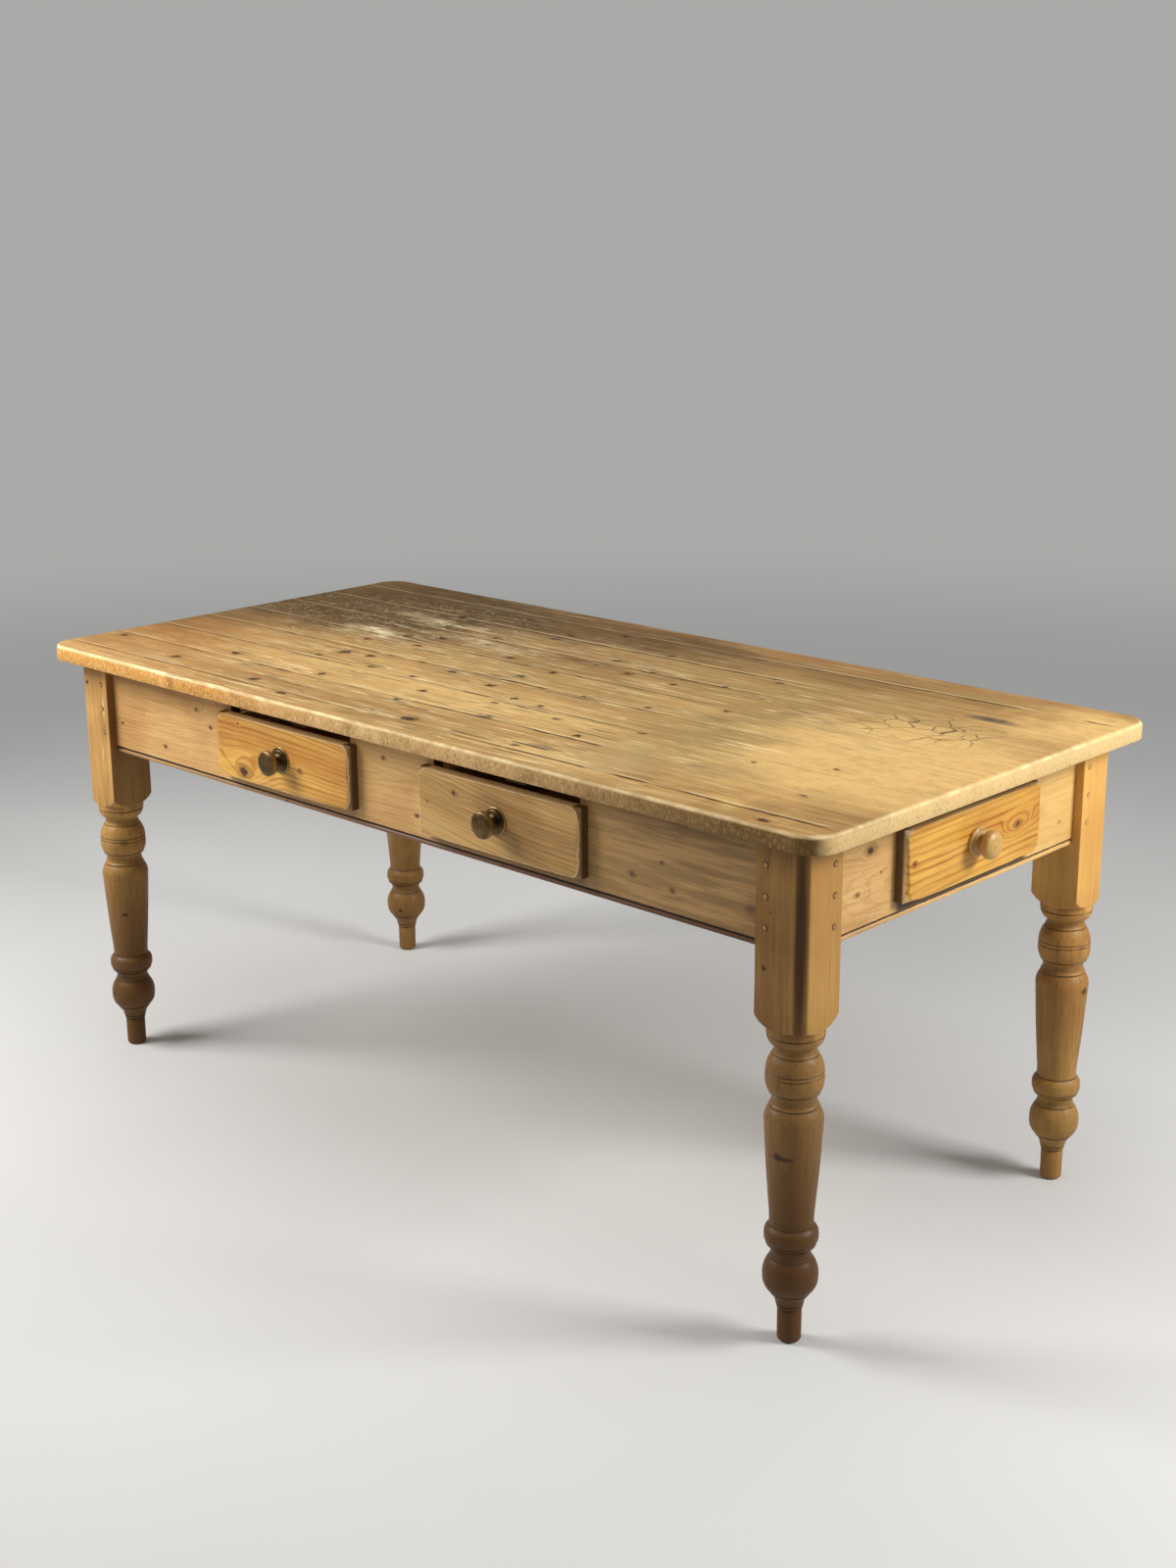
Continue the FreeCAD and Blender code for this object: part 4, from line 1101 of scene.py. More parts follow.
# Knots and marks of the legs: place, half size, strength, tint. Metres. The flat ones cover one face. Marks
# in "shade" are painted shade, marks in "honey" are painted light, and so is the broad pale one on the front
# left leg's front face
LEG_MARKS_AND_PAINTED_LIGHT = {
    # Front right leg: painted light on its right face, painted shade on its front and its chamfer
    "front_right": [((0.828, -0.345, 0.62), (0.003, 0.25, 0.30), 0.25, "honey"),
                    ((0.780, -0.390, 0.560), (0.052, 0.022, 0.260), 0.2, "shade"),
                    ((0.819, -0.381, 0.610), (0.0120, 0.0120, 0.240), 0.95, "shade"),
                    ((0.762, -0.387, 0.564), (0.005, 0.006, 0.006), 0.95, "dark"),
                    ((0.772, -0.387, 0.645), (0.003, 0.006, 0.003), 0.7, "dark"),
                    ((0.800, -0.383, 0.294), (0.030, 0.012, 0.005), 0.8, "dark"),
                    ((0.790, -0.383, 0.296), (0.010, 0.012, 0.009), 0.7, "dark"),
                    ((0.785, -0.385, 0.215), (0.004, 0.008, 0.004), 0.95, "dark"),
                    ((0.762, -0.378, 0.240), (0.007, 0.010, 0.006), 0.8, "pale"),
                    ((0.826, -0.352, 0.212), (0.012, 0.010, 0.006), 0.5, "dark")],
    # Back right leg: painted light on its right face and its front face
    "back_right": [((0.828, 0.345, 0.62), (0.003, 0.25, 0.30), 0.5, "honey"),
                   ((0.787, 0.303, 0.60), (0.25, 0.003, 0.30), 0.4, "honey"),
                   ((0.828, 0.345, 0.335), (0.012, 0.010, 0.008), 0.9, "dark"),
                   ((0.826, 0.335, 0.41), (0.010, 0.010, 0.004), 0.4, "dark")],
    "back_left": [((-0.768, 0.310, 0.097), (0.006, 0.010, 0.006), 0.9, "dark")],
    # Front left leg: painted shade on its inner face, painted light on its front face
    "front_left": [((-0.745, -0.345, 0.61), (0.003, 0.25, 0.30), 0.6, "shade"),
                   ((-0.787, -0.387, 0.66), (0.25, 0.003, 0.30), 0.1, "pale"),
                   ((-0.806, -0.387, 0.707), (0.006, 0.006, 0.006), 0.95, "dark"),
                   ((-0.760, -0.387, 0.665), (0.003, 0.004, 0.034), 0.7, "pale"),
                   ((-0.770, -0.387, 0.580), (0.002, 0.004, 0.020), 0.7, "pale"),
                   ((-0.760, -0.370, 0.268), (0.007, 0.010, 0.005), 0.9, "dark"),
                   ((-0.790, -0.384, 0.108), (0.005, 0.010, 0.006), 0.9, "dark"),
                   ((-0.756, -0.366, 0.408), (0.012, 0.012, 0.008), 0.5, "dark")],
}


def leg_material(name, center, seed, tones, marks):
    """Pine of one leg, browner towards its foot partly as painted shade, with its own marks, some of them
    painted light and shade, and the grime and painted shade in the hollows of its turning.
    """
    look = LOOKS["leg"]
    material, g, point = new_material(name)
    local = along_grain(g, point, (*center, 0.35), "zxy")
    pith = (0.075 * math.cos(seed), 0.075 * math.sin(seed))
    color, height, streak, _ = wood(g, look, local, seed, pith)
    color = cloudy(g, point, look, color, 0.5)
    # Browner towards the foot: partly the leg's own tone, partly painted shade
    color = g.coat(color, LEG_BROWN_AND_SHADE, g.ramp(g.axes(point)[2], 0.1, 0.6, *tones))
    # Knots, spots, and painted light and shade on some faces
    for place, size, strength, tint in marks:
        color = g.coat(color, MARK_AND_LIGHT_TINTS[tint], g.patch(point, place, size, 0.3), strength)
    # Grime and painted shade in the hollows of the turning
    color = g.coat(color, GRIME_AND_SHADE, g.group(leg_grime_and_shade_group, Point=point)["Grime"], 0.8)
    color = peg_shadow(g, point, color, 0.3 + tones[1])
    finish_wood(g, look, color, streak, height)
    return material


def make_legs():
    for number, (name, marks) in enumerate(LEG_MARKS_AND_PAINTED_LIGHT.items(), 1):
        x, y = middle_of("leg_" + name, "x"), middle_of("leg_" + name, "y")
        material = leg_material(f"leg_{name}_pine", (x, y), number * 1.9, LEG_BROWNING_AND_SHADE[name], marks)
        points, faces = turned_leg(math.atan2(math.copysign(1, y), math.copysign(1, x)), number * 10)
        piece = mesh_object("turned_leg_" + name, points * MM + (x, y, 0), faces, material, sharp=60.0)
        carve(piece, joinery_cutters(x, y), sharp=60.0)
        stand_in(piece, "leg_" + name)


# Drawers ----------------------------------------------------------------------------------------------

# Each drawer is drawn in millimetres about the middle of its front: X across, Y inwards from the rail's
# face, Z up. Here are its place on the rail, in metres, and its turn about Z.
DRAWERS = {
    "left": (middle_of("left_drawer_front", "x"), -LONG_RAIL_FACE, 0),
    "right": (middle_of("right_drawer_front", "x"), -LONG_RAIL_FACE, 0),
    "end": (END_RAIL_FACE, middle_of("end_drawer_front", "y"), 90),
}
DRAWER_MIDDLE = middle_of("left_drawer_front", "z")
FRONT_HALF = (170.0, 53.5)
FRONT_THICKNESS = 20.0
FRONT_BACK = -0.3
FACE_INSET = (2.4, 0.2)
FACE_HALF = (FRONT_HALF[0] - FACE_INSET[0], FRONT_HALF[1] - FACE_INSET[1])
FACE_CORNER = 18.0
RIM_CORNER = 0.8
# Section of the drawer front from its face to its back: share of the way from the face's outline to the
# rim's, how far inside that outline, and depth below the face, in millimetres
FRONT_SECTION = [
    (0, 9.0, 0.0), (0, 1.6, 0.02), (0, 0.8, 0.12), (0, 0.25, 0.4), (0.03, 0.0, 0.9), (0.16, 0.0, 1.8),
    (0.42, 0.0, 3.4), (0.72, 0.0, 5.2), (0.95, 0.0, 6.6), (1, 0.0, 7.4), (1, 0.0, 12.0), (1, 0.0, 19.5),
    (1, 0.5, 20.0),
]
CORNER_POINTS = 10
LONG_SIDE_POINTS = 40
SHORT_SIDE_POINTS = 14
BOX_HALF = 153.0
BOX_WALL = 12.0
BOX_HEIGHTS = (-44.0, 47.0)
HOUSING_DEPTH = 8.0
GROOVE = ((-146.0, 146.0), 5.0, (-38.0, -32.0))


def drawer_place(name):
    x, y, turn = DRAWERS[name]
    return Matrix.Translation((x, y, DRAWER_MIDDLE)) @ Matrix.Rotation(math.radians(turn), 4, "Z")


def in_frame(points, name):
    """Points of a drawer in millimetres, moved to their place in the frame in metres."""
    place = np.array(drawer_place(name))
    return points * MM @ place[:3, :3].T + place[:3, 3]


def round_outline(half_x, half_z, corner, inset):
    """Closed outline of a round-cornered rectangle, drawn in by inset, always of as many points."""
    anchors, normals = [], []
    signs = [(1, 1), (-1, 1), (-1, -1), (1, -1)]
    for number, (side_x, side_z) in enumerate(signs):
        here = np.array([side_x * (half_x - corner), side_z * (half_z - corner)])
        next_x, next_z = signs[(number + 1) % 4]
        there = np.array([next_x * (half_x - corner), next_z * (half_z - corner)])
        turn = (number + np.linspace(0, 1, CORNER_POINTS)) * math.pi / 2
        anchors += [here] * CORNER_POINTS
        normals += list(np.column_stack([np.cos(turn), np.sin(turn)]))
        count = LONG_SIDE_POINTS if number % 2 == 0 else SHORT_SIDE_POINTS
        anchors += [here + (there - here) * i / count for i in range(1, count)]
        normals += [normals[-1]] * (count - 1)
    return np.array(anchors) + np.array(normals) * (corner - np.reshape(inset, (-1, 1)))


def bevel_wave(plain, rough, split, seed):
    """How far the bevel reaches into the face at each point of its plain outline, in millimetres."""
    x, z = plain[:, 0], plain[:, 1]
    wave = rough * (0.5 + 0.5 * soft_noise(plain, 45.0, seed)) * np.clip((np.abs(x) - 90) / 60, 0.05, 1)
    left, low = np.clip((-x - 140) / 25, 0, 1), np.clip((25 - z) / 50, 0, 1)
    return wave + split * left * low * (0.75 + 0.25 * soft_noise(plain, 18.0, seed + 1))


def drawer_front(rough, split, seed):
    """Closed mesh of a drawer front, in millimetres.

    rough is how uneven its bevel was worked, split how much more has broken away low down at its left end.
    """
    wave = bevel_wave(round_outline(*FACE_HALF, FACE_CORNER, 0), rough, split, seed)
    rings = []
    for share, inset, depth in FRONT_SECTION:
        face = round_outline(*FACE_HALF, FACE_CORNER, inset + wave)
        rim = round_outline(*FRONT_HALF, RIM_CORNER, inset)
        ring = face + (rim - face) * share
        y = np.full(len(ring), FRONT_BACK - FRONT_THICKNESS + depth)
        rings.append(np.column_stack([ring[:, 0], y, ring[:, 1]]))
    points = np.vstack(rings)
    count = len(rings[0])
    faces = grid_faces(len(rings), count, closed=True)
    faces += [list(range(count)), list(range(len(points) - count, len(points)))]
    return points, faces


def housing_cutters(name, bore):
    """Cutters for the joints with the drawer's sides and bottom, and for the knob's hole."""
    walls = [(-BOX_HALF, -BOX_HALF + BOX_WALL), (BOX_HALF - BOX_WALL, BOX_HALF)]
    boxes = [(wall, (FRONT_BACK - HOUSING_DEPTH, FRONT_BACK + 1), BOX_HEIGHTS) for wall in walls]
    width, depth, heights = GROOVE
    boxes.append((width, (FRONT_BACK - depth, FRONT_BACK + 1), heights))
    cutters = [box_cutter(*zip(*box)) for box in boxes]
    cutters.append(rod_cutter((0, -FRONT_THICKNESS - 5, 0), (0, 1, 0), bore))
    for cutter in cutters:
        cutter.data.transform(drawer_place(name) @ Matrix.Scale(MM, 4))
    return cutters


# What differs between the fronts: kind of pine; colour of the bevel, how rough it is, how much has split off
# it; seed; pith up and in depth; slope of the grain; wear of the outline; bore for the knob; and knots as
# (across, up, radius, swell). Lengths in millimetres
FRONTS = {
    "left": dict(
        kind="orange", bevel=rgb(128, 100, 64), rough=1.6, split=0.0, seed=5.0, pith=(-62, -30), slope=0.03,
        wear=0.9, bore=2.55, knots=[(-99, -37, 8.0, 4.5), (50, -9, 2.4, 0.3), (-110, 43, 1.5, 0.6)],
    ),
    "right": dict(
        kind="brown", bevel=rgb(128, 100, 64), rough=0.9, split=0.0, seed=12.3, pith=(-66, -44), slope=0.13,
        wear=0.95, bore=2.55, knots=[(-88, 26, 3.2, 1.0), (-149, 2, 1.2, 0.1)],
    ),
    "end": dict(
        kind="yellow", bevel=rgb(184, 162, 124), rough=2.4, split=5.5, seed=23.7, pith=(-70, -26),
        slope=-0.05, wear=0.4, bore=7.1, knots=[(107, 2, 4.2, 4.2), (-152, 2, 2.6, 0.1)],
    ),
}
RIM_TONE_AND_SHADE = rgb(70, 50, 30)


def front_material(name, spec):
    """Pine of a drawer front, with a darker bevel, a rim darkened partly in its own tone and partly as
    painted shade, and a rubbed line round its face.
    """
    look, slope = LOOKS[spec["kind"]], spec["slope"]
    material, g, point = new_material(f"{name}_drawer_front_pine")
    x, y, _ = DRAWERS[name]
    local = along_grain(g, point, (x, y, DRAWER_MIDDLE), "yzx" if name == "end" else "xzy")
    across, up, into = g.axes(local)
    sloping = g.join(across, g.plus(up, g.product(across, slope)), into)
    knots = [(a * MM, (b + slope * a) * MM, radius * MM, swell) for a, b, radius, swell in spec["knots"]]
    pith = tuple(value * MM for value in spec["pith"])
    color, height, streak, _ = wood(g, look, sloping, spec["seed"], pith, knots)
    color = cloudy(g, point, look, color)
    half = (FACE_HALF[0] * MM, FACE_HALF[1] * MM, 0.0)
    inwards = g.group(rim_group, Point=local, Half=half, Corner=FACE_CORNER * MM)["Inwards"]
    outwards = g.minus(FRONT_THICKNESS * MM, g.size(g.minus(into, FRONT_BACK * MM)))
    color = g.coat(color, spec["bevel"], g.fall(inwards, -0.8 * MM, 0.0, 0.75))
    # The sides behind the bevel darker: partly their own darker tone, partly painted shade
    color = g.coat(color, RIM_TONE_AND_SHADE, g.ramp(outwards, 5.5 * MM, 8.0 * MM, 0.0, 0.85))
    outline = g.ragged(inwards, point, 90.0, 2.0 * MM)
    color = g.coat(color, WORN, g.near(outline, 0.2 * MM, 0.4 * MM, 1.4 * MM, spec["wear"]))
    finish_wood(g, look, color, streak, height)
    return material


def make_fronts():
    for name, spec in FRONTS.items():
        points, faces = drawer_front(spec["rough"], spec["split"], int(spec["seed"]))
        material = front_material(name, spec)
        piece = mesh_object(f"{name}_front_board", in_frame(points, name), faces, material, sharp=35.0)
        carve(piece, housing_cutters(name, spec["bore"]), sharp=35.0)
        stand_in(piece, f"{name}_drawer_front")


# Knobs ------------------------------------------------------------------------------------------------

# Turnings of the knobs: radius, height above the drawer's face and bulge, in millimetres
BRASS_KNOB = [
    (0, 22.0, 0), (2.55, 22.0, 0), (2.55, 6.1, 0), (10.6, 6.1, 0), (10.8, 7.2, 0.2), (7.4, 11.8, -0.7),
    (7.2, 15.6, -0.3), (11.5, 19.0, -0.7), (18.0, 21.0, 0.3), (20.9, 24.6, 0.9), (20.9, 28.0, 0.3),
    (19.2, 30.9, 0.6), (12.0, 32.6, 0.3), (0, 33.0, 0.2),
]
BRASS_ROSE = [
    (2.55, 0.0, 0), (22.4, 0.0, 0), (22.4, 1.3, 0.25), (21.2, 2.5, 0.3), (18.2, 2.7, 0), (18.0, 3.3, 0),
    (17.2, 4.7, 0.4), (14.8, 5.2, 0.2), (12.4, 5.3, 0), (11.8, 6.0, 0.15), (2.55, 6.0, 0),
]
WOOD_KNOB = [
    (0, -19.8, 0), (7.0, -19.8, 0), (7.0, 0.0, 0), (21.4, 0.0, 0), (22.4, 2.6, 0.4), (20.6, 6.2, 0.6),
    (19.0, 6.8, 0), (18.4, 7.6, 0), (17.4, 9.2, 0.4), (11.6, 11.8, -0.6), (10.2, 14.2, -0.2),
    (11.0, 15.6, -0.2), (16.6, 17.4, 0.3), (21.2, 22.2, 1.0), (21.3, 26.0, 0.4), (17.6, 32.2, 1.2),
    (9.0, 35.6, 0.7), (0, 36.4, 0.35),
]


def knob_mesh(name, turning):
    """A turning laid over to point out of the middle of a drawer's face, in metres."""
    points, faces = lathe(outline_of_turning(turning, 0.7))
    face = FRONT_BACK - FRONT_THICKNESS
    laid = np.column_stack([points[:, 0], face - points[:, 2], points[:, 1]])
    return in_frame(laid, name), faces


BRASS_BROWN = rgb(80, 60, 34)
BRASS_DULL = rgb(112, 86, 50)
BRASS_BRIGHT = rgb(180, 150, 104)
BRASS_DEEP = rgb(44, 32, 18)


def brass(name):
    """Old brass, brown and dull, rubbed brighter on its rims."""
    material, g, point = new_material(f"{name}_knob_brass")
    x, y, _ = DRAWERS[name]
    across, out, up = g.axes(g.offset(point, (x, y - FRONT_THICKNESS * MM, DRAWER_MIDDLE)))
    radius = g.length(across, up)
    cloud = g.noise(point, 80.0, detail=3.0, roughness=0.55)
    color = g.mix(g.ramp(cloud, 0.35, 0.7), BRASS_BROWN, BRASS_DULL)
    rubbed = g.plus(radius, g.product(g.minus(cloud, 0.5), 2.0 * MM))
    color = g.coat(color, BRASS_BRIGHT, g.ramp(rubbed, 19.5 * MM, 21.5 * MM, 0.0, 0.55))
    neck = g.fall(g.size(g.plus(out, 12 * MM)), 7 * MM, 11 * MM)
    color = g.coat(color, BRASS_DEEP, g.fall(radius, 8 * MM, 13 * MM, 0.8), neck)
    height = g.product(g.noise(point, 400.0), 0.02 * MM)
    finish_material(g, color, g.ramp(cloud, 0.3, 0.7, 0.3, 0.44), height, 0.4, metallic=0.9)
    return material


def knob_wood():
    """The end drawer's knob, dark in its groove and round its neck."""
    x, y, _ = DRAWERS["end"]
    look = LOOKS["knob"]
    material, g, point = new_material("end_knob_wood")
    local = along_grain(g, point, (x, y, DRAWER_MIDDLE), "xyz")
    color, height, streak, _ = wood(g, look, local, 8.6, (0.012, -0.03))
    out = g.minus(g.axes(point)[0], x + FRONT_THICKNESS * MM)
    radius = g.vector("LENGTH", g.times(local, 0.0, 1.0, 1.0))
    color = g.coat(color, GRIME_AND_SHADE, g.near(out, 7.2 * MM, 0.3 * MM, 1.0 * MM, 0.45))
    color = g.coat(color, HALO, g.fall(radius, 10 * MM, 14 * MM, 0.3), g.fall(out, 20 * MM, 24 * MM))
    finish_wood(g, look, color, streak, height)
    return material


def make_knobs():
    for name in ("left", "right"):
        metal = brass(name)
        for kind, turning, node in (("knob", BRASS_KNOB, "knob"), ("rose", BRASS_ROSE, "knob_rose")):
            piece = mesh_object(f"{name}_brass_{kind}", *knob_mesh(name, turning), metal, sharp=50.0)
            stand_in(piece, f"{name}_drawer_{node}")
    piece = mesh_object("end_wooden_knob", *knob_mesh("end", WOOD_KNOB), knob_wood(), sharp=50.0)
    stand_in(piece, "end_drawer_knob")


# Rails ------------------------------------------------------------------------------------------------

QUIRK_HEIGHT = RAIL_LOW.z + 9.4 * MM
RAIL_MIDDLE = (RAIL_LOW.z + RAIL_HIGH.z) / 2
# Near black for grime in the quirk and for painted shade and shadow on the rails
QUIRK_GRIME_AND_SHADE = rgb(34, 24, 16)
RAIL_BROWN_AND_SHADE = rgb(106, 80, 44)
RAIL_PAINTED_LIGHT = rgb(246, 206, 116)
BEAD_BROWN = rgb(92, 56, 34)
FRONT_FOOT = DRAWER_MIDDLE - FRONT_HALF[1] * MM
# Strength of the shadow painted on the rail along the foot of each drawer front
DRAWER_FOOT_SHADOW = {"left": 0.35, "right": 0.5, "end": 0.95}

# Knots of the rails, along the rail and up from the floor, radius and swell, in millimetres
FRONT_RAIL_KNOTS = [
    (-724, 642, 2.4, 0.3), (-597, 621, 3.0, 0.4), (-462, 679, 2.6, 0.3), (-500, 704, 2.8, 3.2),
    (-15, 708, 3.0, 0.8), (60, 629, 2.6, 0.3), (567, 665, 2.6, 0.5), (511, 636, 3.4, 0.6),
    (587, 629, 2.8, 0.4), (729, 634, 5.5, 0.9), (602, 591, 4.0, 0.3), (-261, 588, 2.2, 0.2),
    (250, 590, 2.4, 0.2),
]
END_RAIL_KNOTS = [(-222, 701, 6.0, 0.8), (-250, 644, 2.6, 1.4), (-197, 665, 1.5, 0.4), (264, 631, 2.6, 0.3)]
BACK_RAIL_KNOTS = [(-380, 650, 5.0, 1.0), (120, 700, 4.0, 0.8), (540, 640, 6.0, 1.4)]
LEFT_RAIL_KNOTS = [(-120, 690, 5.0, 1.0), (170, 640, 4.0, 0.7)]
# Axes along the grain, across it and into the wood, knots, seed, and place of the pith
RAILS = {
    "front_rail": ("xzy", FRONT_RAIL_KNOTS, 2.0, (0.02, -0.05)),
    "back_rail": ("xzy", BACK_RAIL_KNOTS, 6.1, (-0.03, 0.06)),
    "left_end_rail": ("yzx", LEFT_RAIL_KNOTS, 9.4, (0.03, 0.06)),
    "right_end_rail": ("yzx", END_RAIL_KNOTS, 14.8, (-0.04, -0.06)),
}


def rail_grime_light_and_shade(g, point, color):
    """A darker bead, grime and painted shade in the quirk above it, painted shadow along the foot of each
    drawer front and painted shade in the openings, the front rail browner to the right partly as painted
    shade, the end rail paler to the back as painted light, and a band of painted shade under the top.
    """
    x, y, z = g.axes(point)
    face, front_half = -LONG_RAIL_FACE, FRONT_HALF[0] * MM
    height = g.ragged(z, point, 50.0, 2.0 * MM)
    front = g.fall(y, face + 11 * MM, face + 41 * MM)
    end = g.ramp(x, END_RAIL_FACE - 13 * MM, END_RAIL_FACE - 3 * MM)
    wavy = g.ramp(g.noise(point, 9.0, 9.0, 110.0, detail=3.0), 0.4, 0.6, 0.6, 1.0)
    # The front rail browner towards its right end: partly the wood's own tone, partly painted shade of the
    # light falling off
    color = g.coat(color, RAIL_BROWN_AND_SHADE, front, g.ramp(x, 0.2, 0.6, 0.0, 0.75), wavy)
    # The end rail paler towards the back: painted light
    color = g.coat(color, RAIL_PAINTED_LIGHT, end, g.ramp(y, 0.1, 0.25, 0.0, 0.3))
    # Painted shadow on the rail just below each drawer front
    for name, strength in DRAWER_FOOT_SHADOW.items():
        center_x, center_y, turn = DRAWERS[name]
        along, middle, side = (y, center_y, end) if turn else (x, center_x, front)
        close = g.near(along, middle, front_half - 14 * MM, front_half + 4 * MM, strength)
        below = g.ramp(height, FRONT_FOOT - 18 * MM, FRONT_FOOT - 13 * MM)
        above = g.fall(height, FRONT_FOOT + MM, FRONT_FOOT + 6 * MM)
        color = g.coat(color, QUIRK_GRIME_AND_SHADE, close, below, above, side)
    # Painted shade on the faces across the rail's thickness, inside the drawer openings
    cut = g.product(g.ramp(y, face + 0.7 * MM, face + 2 * MM), g.fall(y, face + 19 * MM, face + 20 * MM))
    color = g.coat(color, QUIRK_GRIME_AND_SHADE, cut, 0.85)
    bead = g.fall(z, QUIRK_HEIGHT - 2 * MM, QUIRK_HEIGHT - MM)
    color = g.coat(color, BEAD_BROWN, bead, g.ramp(x, -0.7, 0.2, 0.45, 0.9), front)
    # The quirk near black: grime, and painted shade of the recess
    color = g.coat(color, QUIRK_GRIME_AND_SHADE, g.near(height, QUIRK_HEIGHT, 1.2 * MM, 2.8 * MM, 0.97))
    # Band of painted shade below the top's overhang
    return g.coat(color, GRIME_AND_SHADE, g.ramp(height, RAIL_HIGH.z - 30 * MM, RAIL_HIGH.z - 8 * MM, 0.0, 0.4))


def make_rails():
    for node, (order, places, seed, pith) in RAILS.items():
        knots = [(a * MM, z * MM - RAIL_MIDDLE, radius * MM, swell) for a, z, radius, swell in places]
        low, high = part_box(node)
        material = pine(node + "_pine", "rail", low, high, order, knots, seed, pith, 0.35, rail_grime_light_and_shade)
        soften(node, material)


# Parts inside, pegs and screws ------------------------------------------------------------------------

INNER_EASE = 0.4
PEG_PALE = rgb(186, 136, 76)
PEG_BROWN = rgb(130, 88, 46)
PEG_HONEY = rgb(214, 166, 98)
STEEL_PALE = rgb(150, 146, 140)
STEEL_DARK = rgb(104, 96, 88)


def make_insides():
    """Drawer boxes, runners, kickers, cross rail and buttons: all bare, sawn pine."""
    long_way = {"x": "xyz", "y": "yxz"}
    for number, name in enumerate(DRAWERS):
        run, wide = ("x", "y") if name == "end" else ("y", "x")
        orders = {
            "left_side": run + "z" + wide, "right_side": run + "z" + wide, "back": wide + "z" + run,
            "bottom": long_way[wide], "left_runner": long_way[run], "right_runner": long_way[run],
            "kicker": long_way[run],
        }
        for place, (part, order) in enumerate(orders.items()):
            node = f"{name}_drawer_{part}"
            seed = 3.3 + number * 7.1 + place * 1.7
            knots = [(0.02 * place - 0.05, 0.01, 0.004, 0.6)]
            material = pine(node + "_pine", "inner", *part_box(node), order, knots, seed, wear=0.2)
            soften(node, material, INNER_EASE)
    cross_rail = pine("cross_rail_pine", "inner", *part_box("cross_rail"), "yzx", seed=31.0, wear=0.2)
    soften("cross_rail", cross_rail, INNER_EASE)
    buttons = pine("top_button_pine", "inner", *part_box("top_buttons"), "xyz", seed=37.0, wear=0.0)
    soften("top_buttons", buttons, INNER_EASE)


def make_pegs():
    """End grain, honey-coloured at the back, with a dark line where each peg meets its leg."""
    material, g, point = new_material("peg_end_grain")
    y = g.axes(point)[1]
    away = g.group(peg_group, Point=point)["Distance"]
    cloud = g.noise(point, 420.0, detail=3.0)
    color = g.mix(g.ramp(cloud, 0.3, 0.7), PEG_PALE, PEG_BROWN)
    color = g.coat(color, PEG_HONEY, g.ramp(y, 0.0, 0.3, 0.0, 0.6))
    color = g.coat(color, GRIME_AND_SHADE, g.ramp(away, 2.6 * MM, 3.9 * MM), g.ramp(y, 0.0, 0.3, 0.8, 0.3))
    finish_material(g, color, 0.6, g.product(cloud, 0.1 * MM), 0.6)
    soften("joint_pegs", material, 0.5)


def make_screws():
    material, g, point = new_material("dull_screw_steel")
    cloud = g.noise(point, 300.0, detail=3.0)
    color = g.mix(g.ramp(cloud, 0.35, 0.7), STEEL_PALE, STEEL_DARK)
    rough = g.ramp(cloud, 0.3, 0.7, 0.35, 0.6)
    finish_material(g, color, rough, g.product(cloud, 0.03 * MM), 0.5, metallic=1.0)
    for node in ("button_screws", "left_drawer_knob_screw", "right_drawer_knob_screw"):
        soften(node, material, 0.2)


# Studio -----------------------------------------------------------------------------------------------

FLOOR_COLOR = rgb(214, 213, 210)
FLOOR_SHADE = rgb(200, 199, 197)
BACKDROP = rgb(170, 170, 168)
WORLD_LIGHT = 0.27
FLOOR_HALF = 16.0
# How far from the table the floor begins to fade into the backdrop, and where it has gone
FLOOR_FADE = (2.4, 6.5)
# Place, aim, size and watts of each lamp
LAMPS = {
    "left_softbox": ((-1.50, -1.45, 1.85), (-0.1, -0.2, 0.6), (1.1, 0.9), 57.0),
    "right_softbox": ((2.50, 0.92, 1.80), (0.5, 0.0, 0.6), (0.9, 0.8), 60.0),
    "overhead": ((0.3, 0.0, 3.3), (0.3, 0.0, 0.7), (2.4, 1.8), 22.0),
}


def make_camera():
    """The photograph's camera: looks along CAMERA_WAY, turned about it by CAMERA_ROLL."""
    right = CAMERA_WAY.cross(Vector((0, 0, 1))).normalized()
    up = right.cross(CAMERA_WAY).normalized()
    turned_right = right * math.cos(CAMERA_ROLL) + up * math.sin(CAMERA_ROLL)
    turned_up = up * math.cos(CAMERA_ROLL) - right * math.sin(CAMERA_ROLL)
    facing = Matrix((turned_right, turned_up, -CAMERA_WAY)).transposed().to_4x4()
    data = bpy.data.cameras.new("camera")
    data.sensor_fit = "VERTICAL"
    data.sensor_height = CAMERA_FILM
    data.lens = CAMERA_LENS
    camera = bpy.data.objects.new("camera", data)
    camera.matrix_world = Matrix.Translation(CAMERA_PLACE) @ facing
    bpy.context.scene.collection.objects.link(camera)
    bpy.context.scene.camera = camera


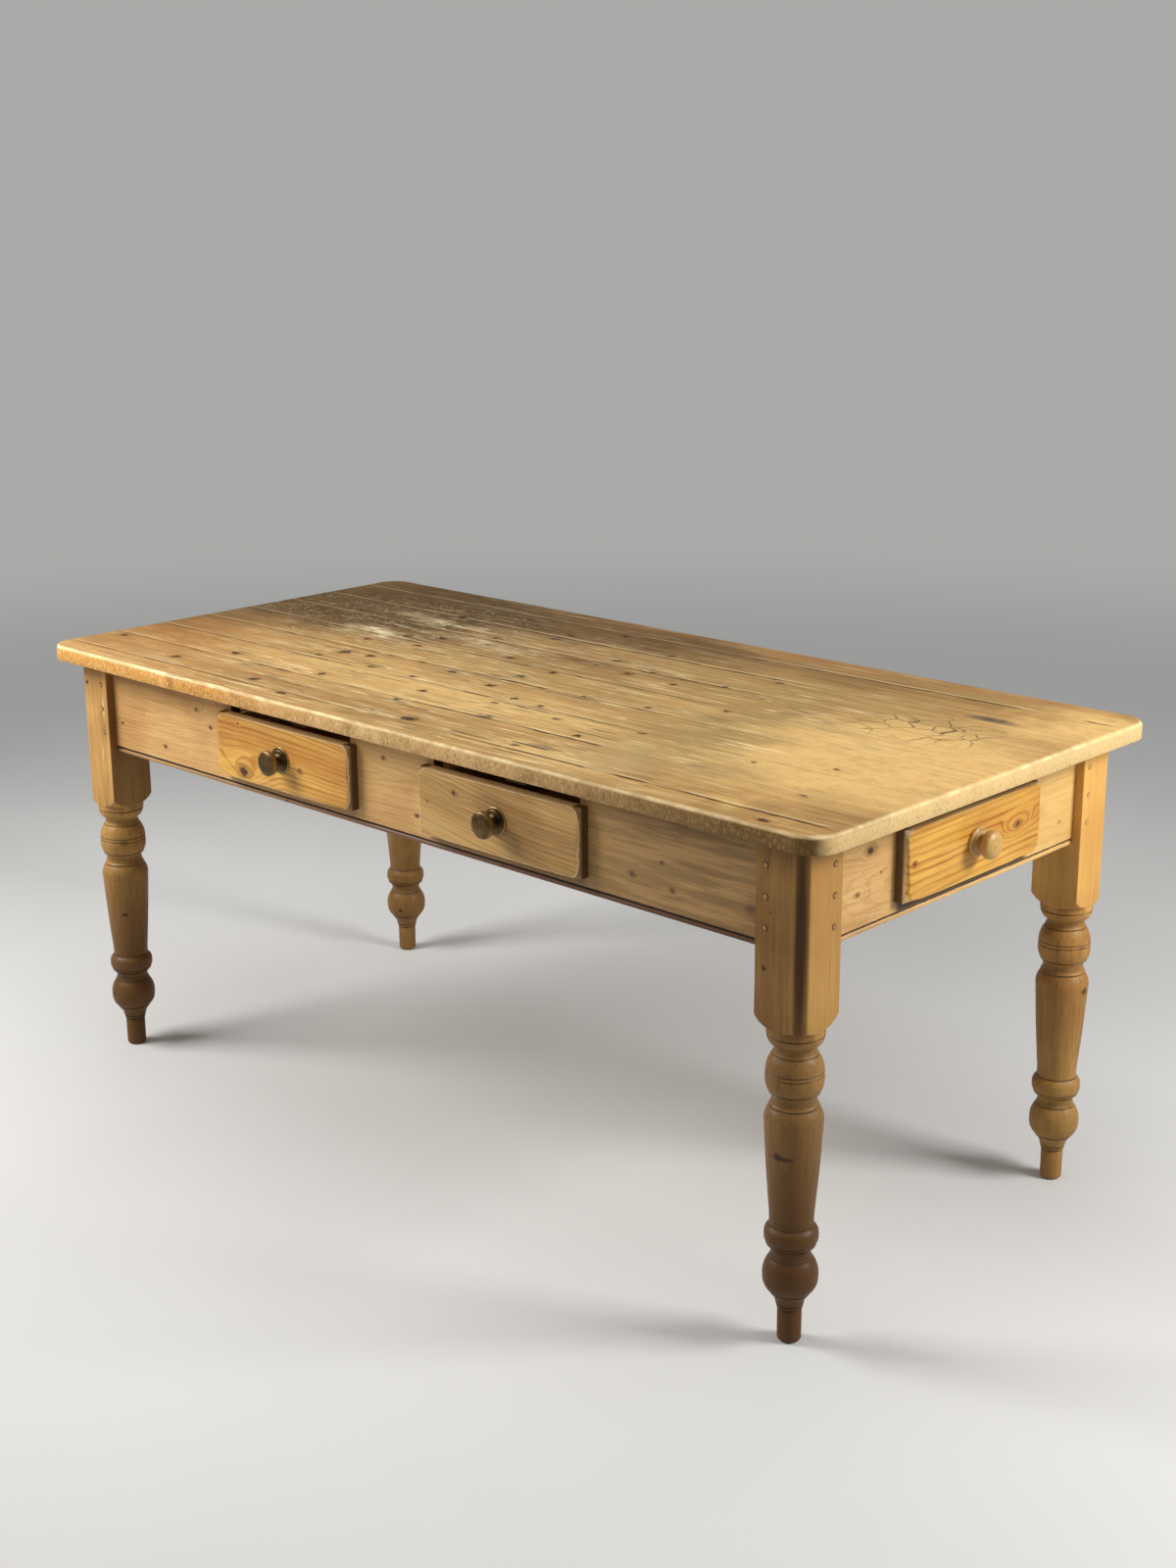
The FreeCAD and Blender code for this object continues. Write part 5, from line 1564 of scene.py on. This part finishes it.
def make_lamps():
    for name, (place, aim, size, watts) in LAMPS.items():
        data = bpy.data.lights.new(name, "AREA")
        data.shape = "RECTANGLE"
        data.size, data.size_y = size
        data.energy = watts
        lamp = bpy.data.objects.new(name, data)
        lamp.location = place
        lamp.visible_camera = False
        lamp.rotation_euler = (Vector(aim) - Vector(place)).to_track_quat("-Z", "Y").to_euler()
        bpy.context.scene.collection.objects.link(lamp)


def make_floor():
    """A pale floor that fades into the backdrop's colour a few metres away."""
    material, g, point = new_material("studio_floor")
    cloud = g.noise(point, 1.5, detail=3.0)
    color = g.coat(FLOOR_COLOR, FLOOR_SHADE, g.ramp(cloud, 0.3, 0.7, 0.0, 0.2))
    surface = {"Base Color": color, "Roughness": 0.6, "Specular IOR Level": 0.2}
    near = g.add("ShaderNodeBsdfPrincipled", surface)
    far = g.add("ShaderNodeEmission", {"Color": BACKDROP, "Strength": 1.0})
    away = g.vector("LENGTH", g.offset(point, (0.3, -0.3, 0.0)))
    blend = g.add("ShaderNodeMixShader", [g.ramp(away, *FLOOR_FADE), near.outputs[0], far.outputs[0]])
    g.add("ShaderNodeOutputMaterial", [blend.outputs[0]])
    half = FLOOR_HALF
    corners = [(-half, -half, 0), (half, -half, 0), (half, half, 0), (-half, half, 0)]
    mesh_object("floor", corners, [(0, 1, 2, 3)], material)


def make_world():
    """Soft light from all round; the camera, metal and glass see the backdrop's colour instead."""
    world = bpy.data.worlds.new("studio")
    bpy.context.scene.world = world
    world.use_nodes = True
    world.node_tree.nodes.clear()
    g = Graph(world.node_tree)
    ray = g.add("ShaderNodeLightPath").outputs
    seen = g.largest(ray["Is Camera Ray"], ray["Is Glossy Ray"], ray["Is Transmission Ray"])
    light = g.add("ShaderNodeBackground", {"Color": rgb(250, 252, 255), "Strength": WORLD_LIGHT})
    back = g.add("ShaderNodeBackground", {"Color": BACKDROP, "Strength": 1.0})
    blend = g.add("ShaderNodeMixShader", [seen, light.outputs[0], back.outputs[0]])
    g.add("ShaderNodeOutputWorld", [blend.outputs[0]])


make_camera()
make_lamps()
make_floor()
make_world()
bpy.context.scene.view_settings.view_transform = "Standard"

make_top()
make_legs()
make_rails()
make_fronts()
make_knobs()
make_insides()
make_pegs()
make_screws()
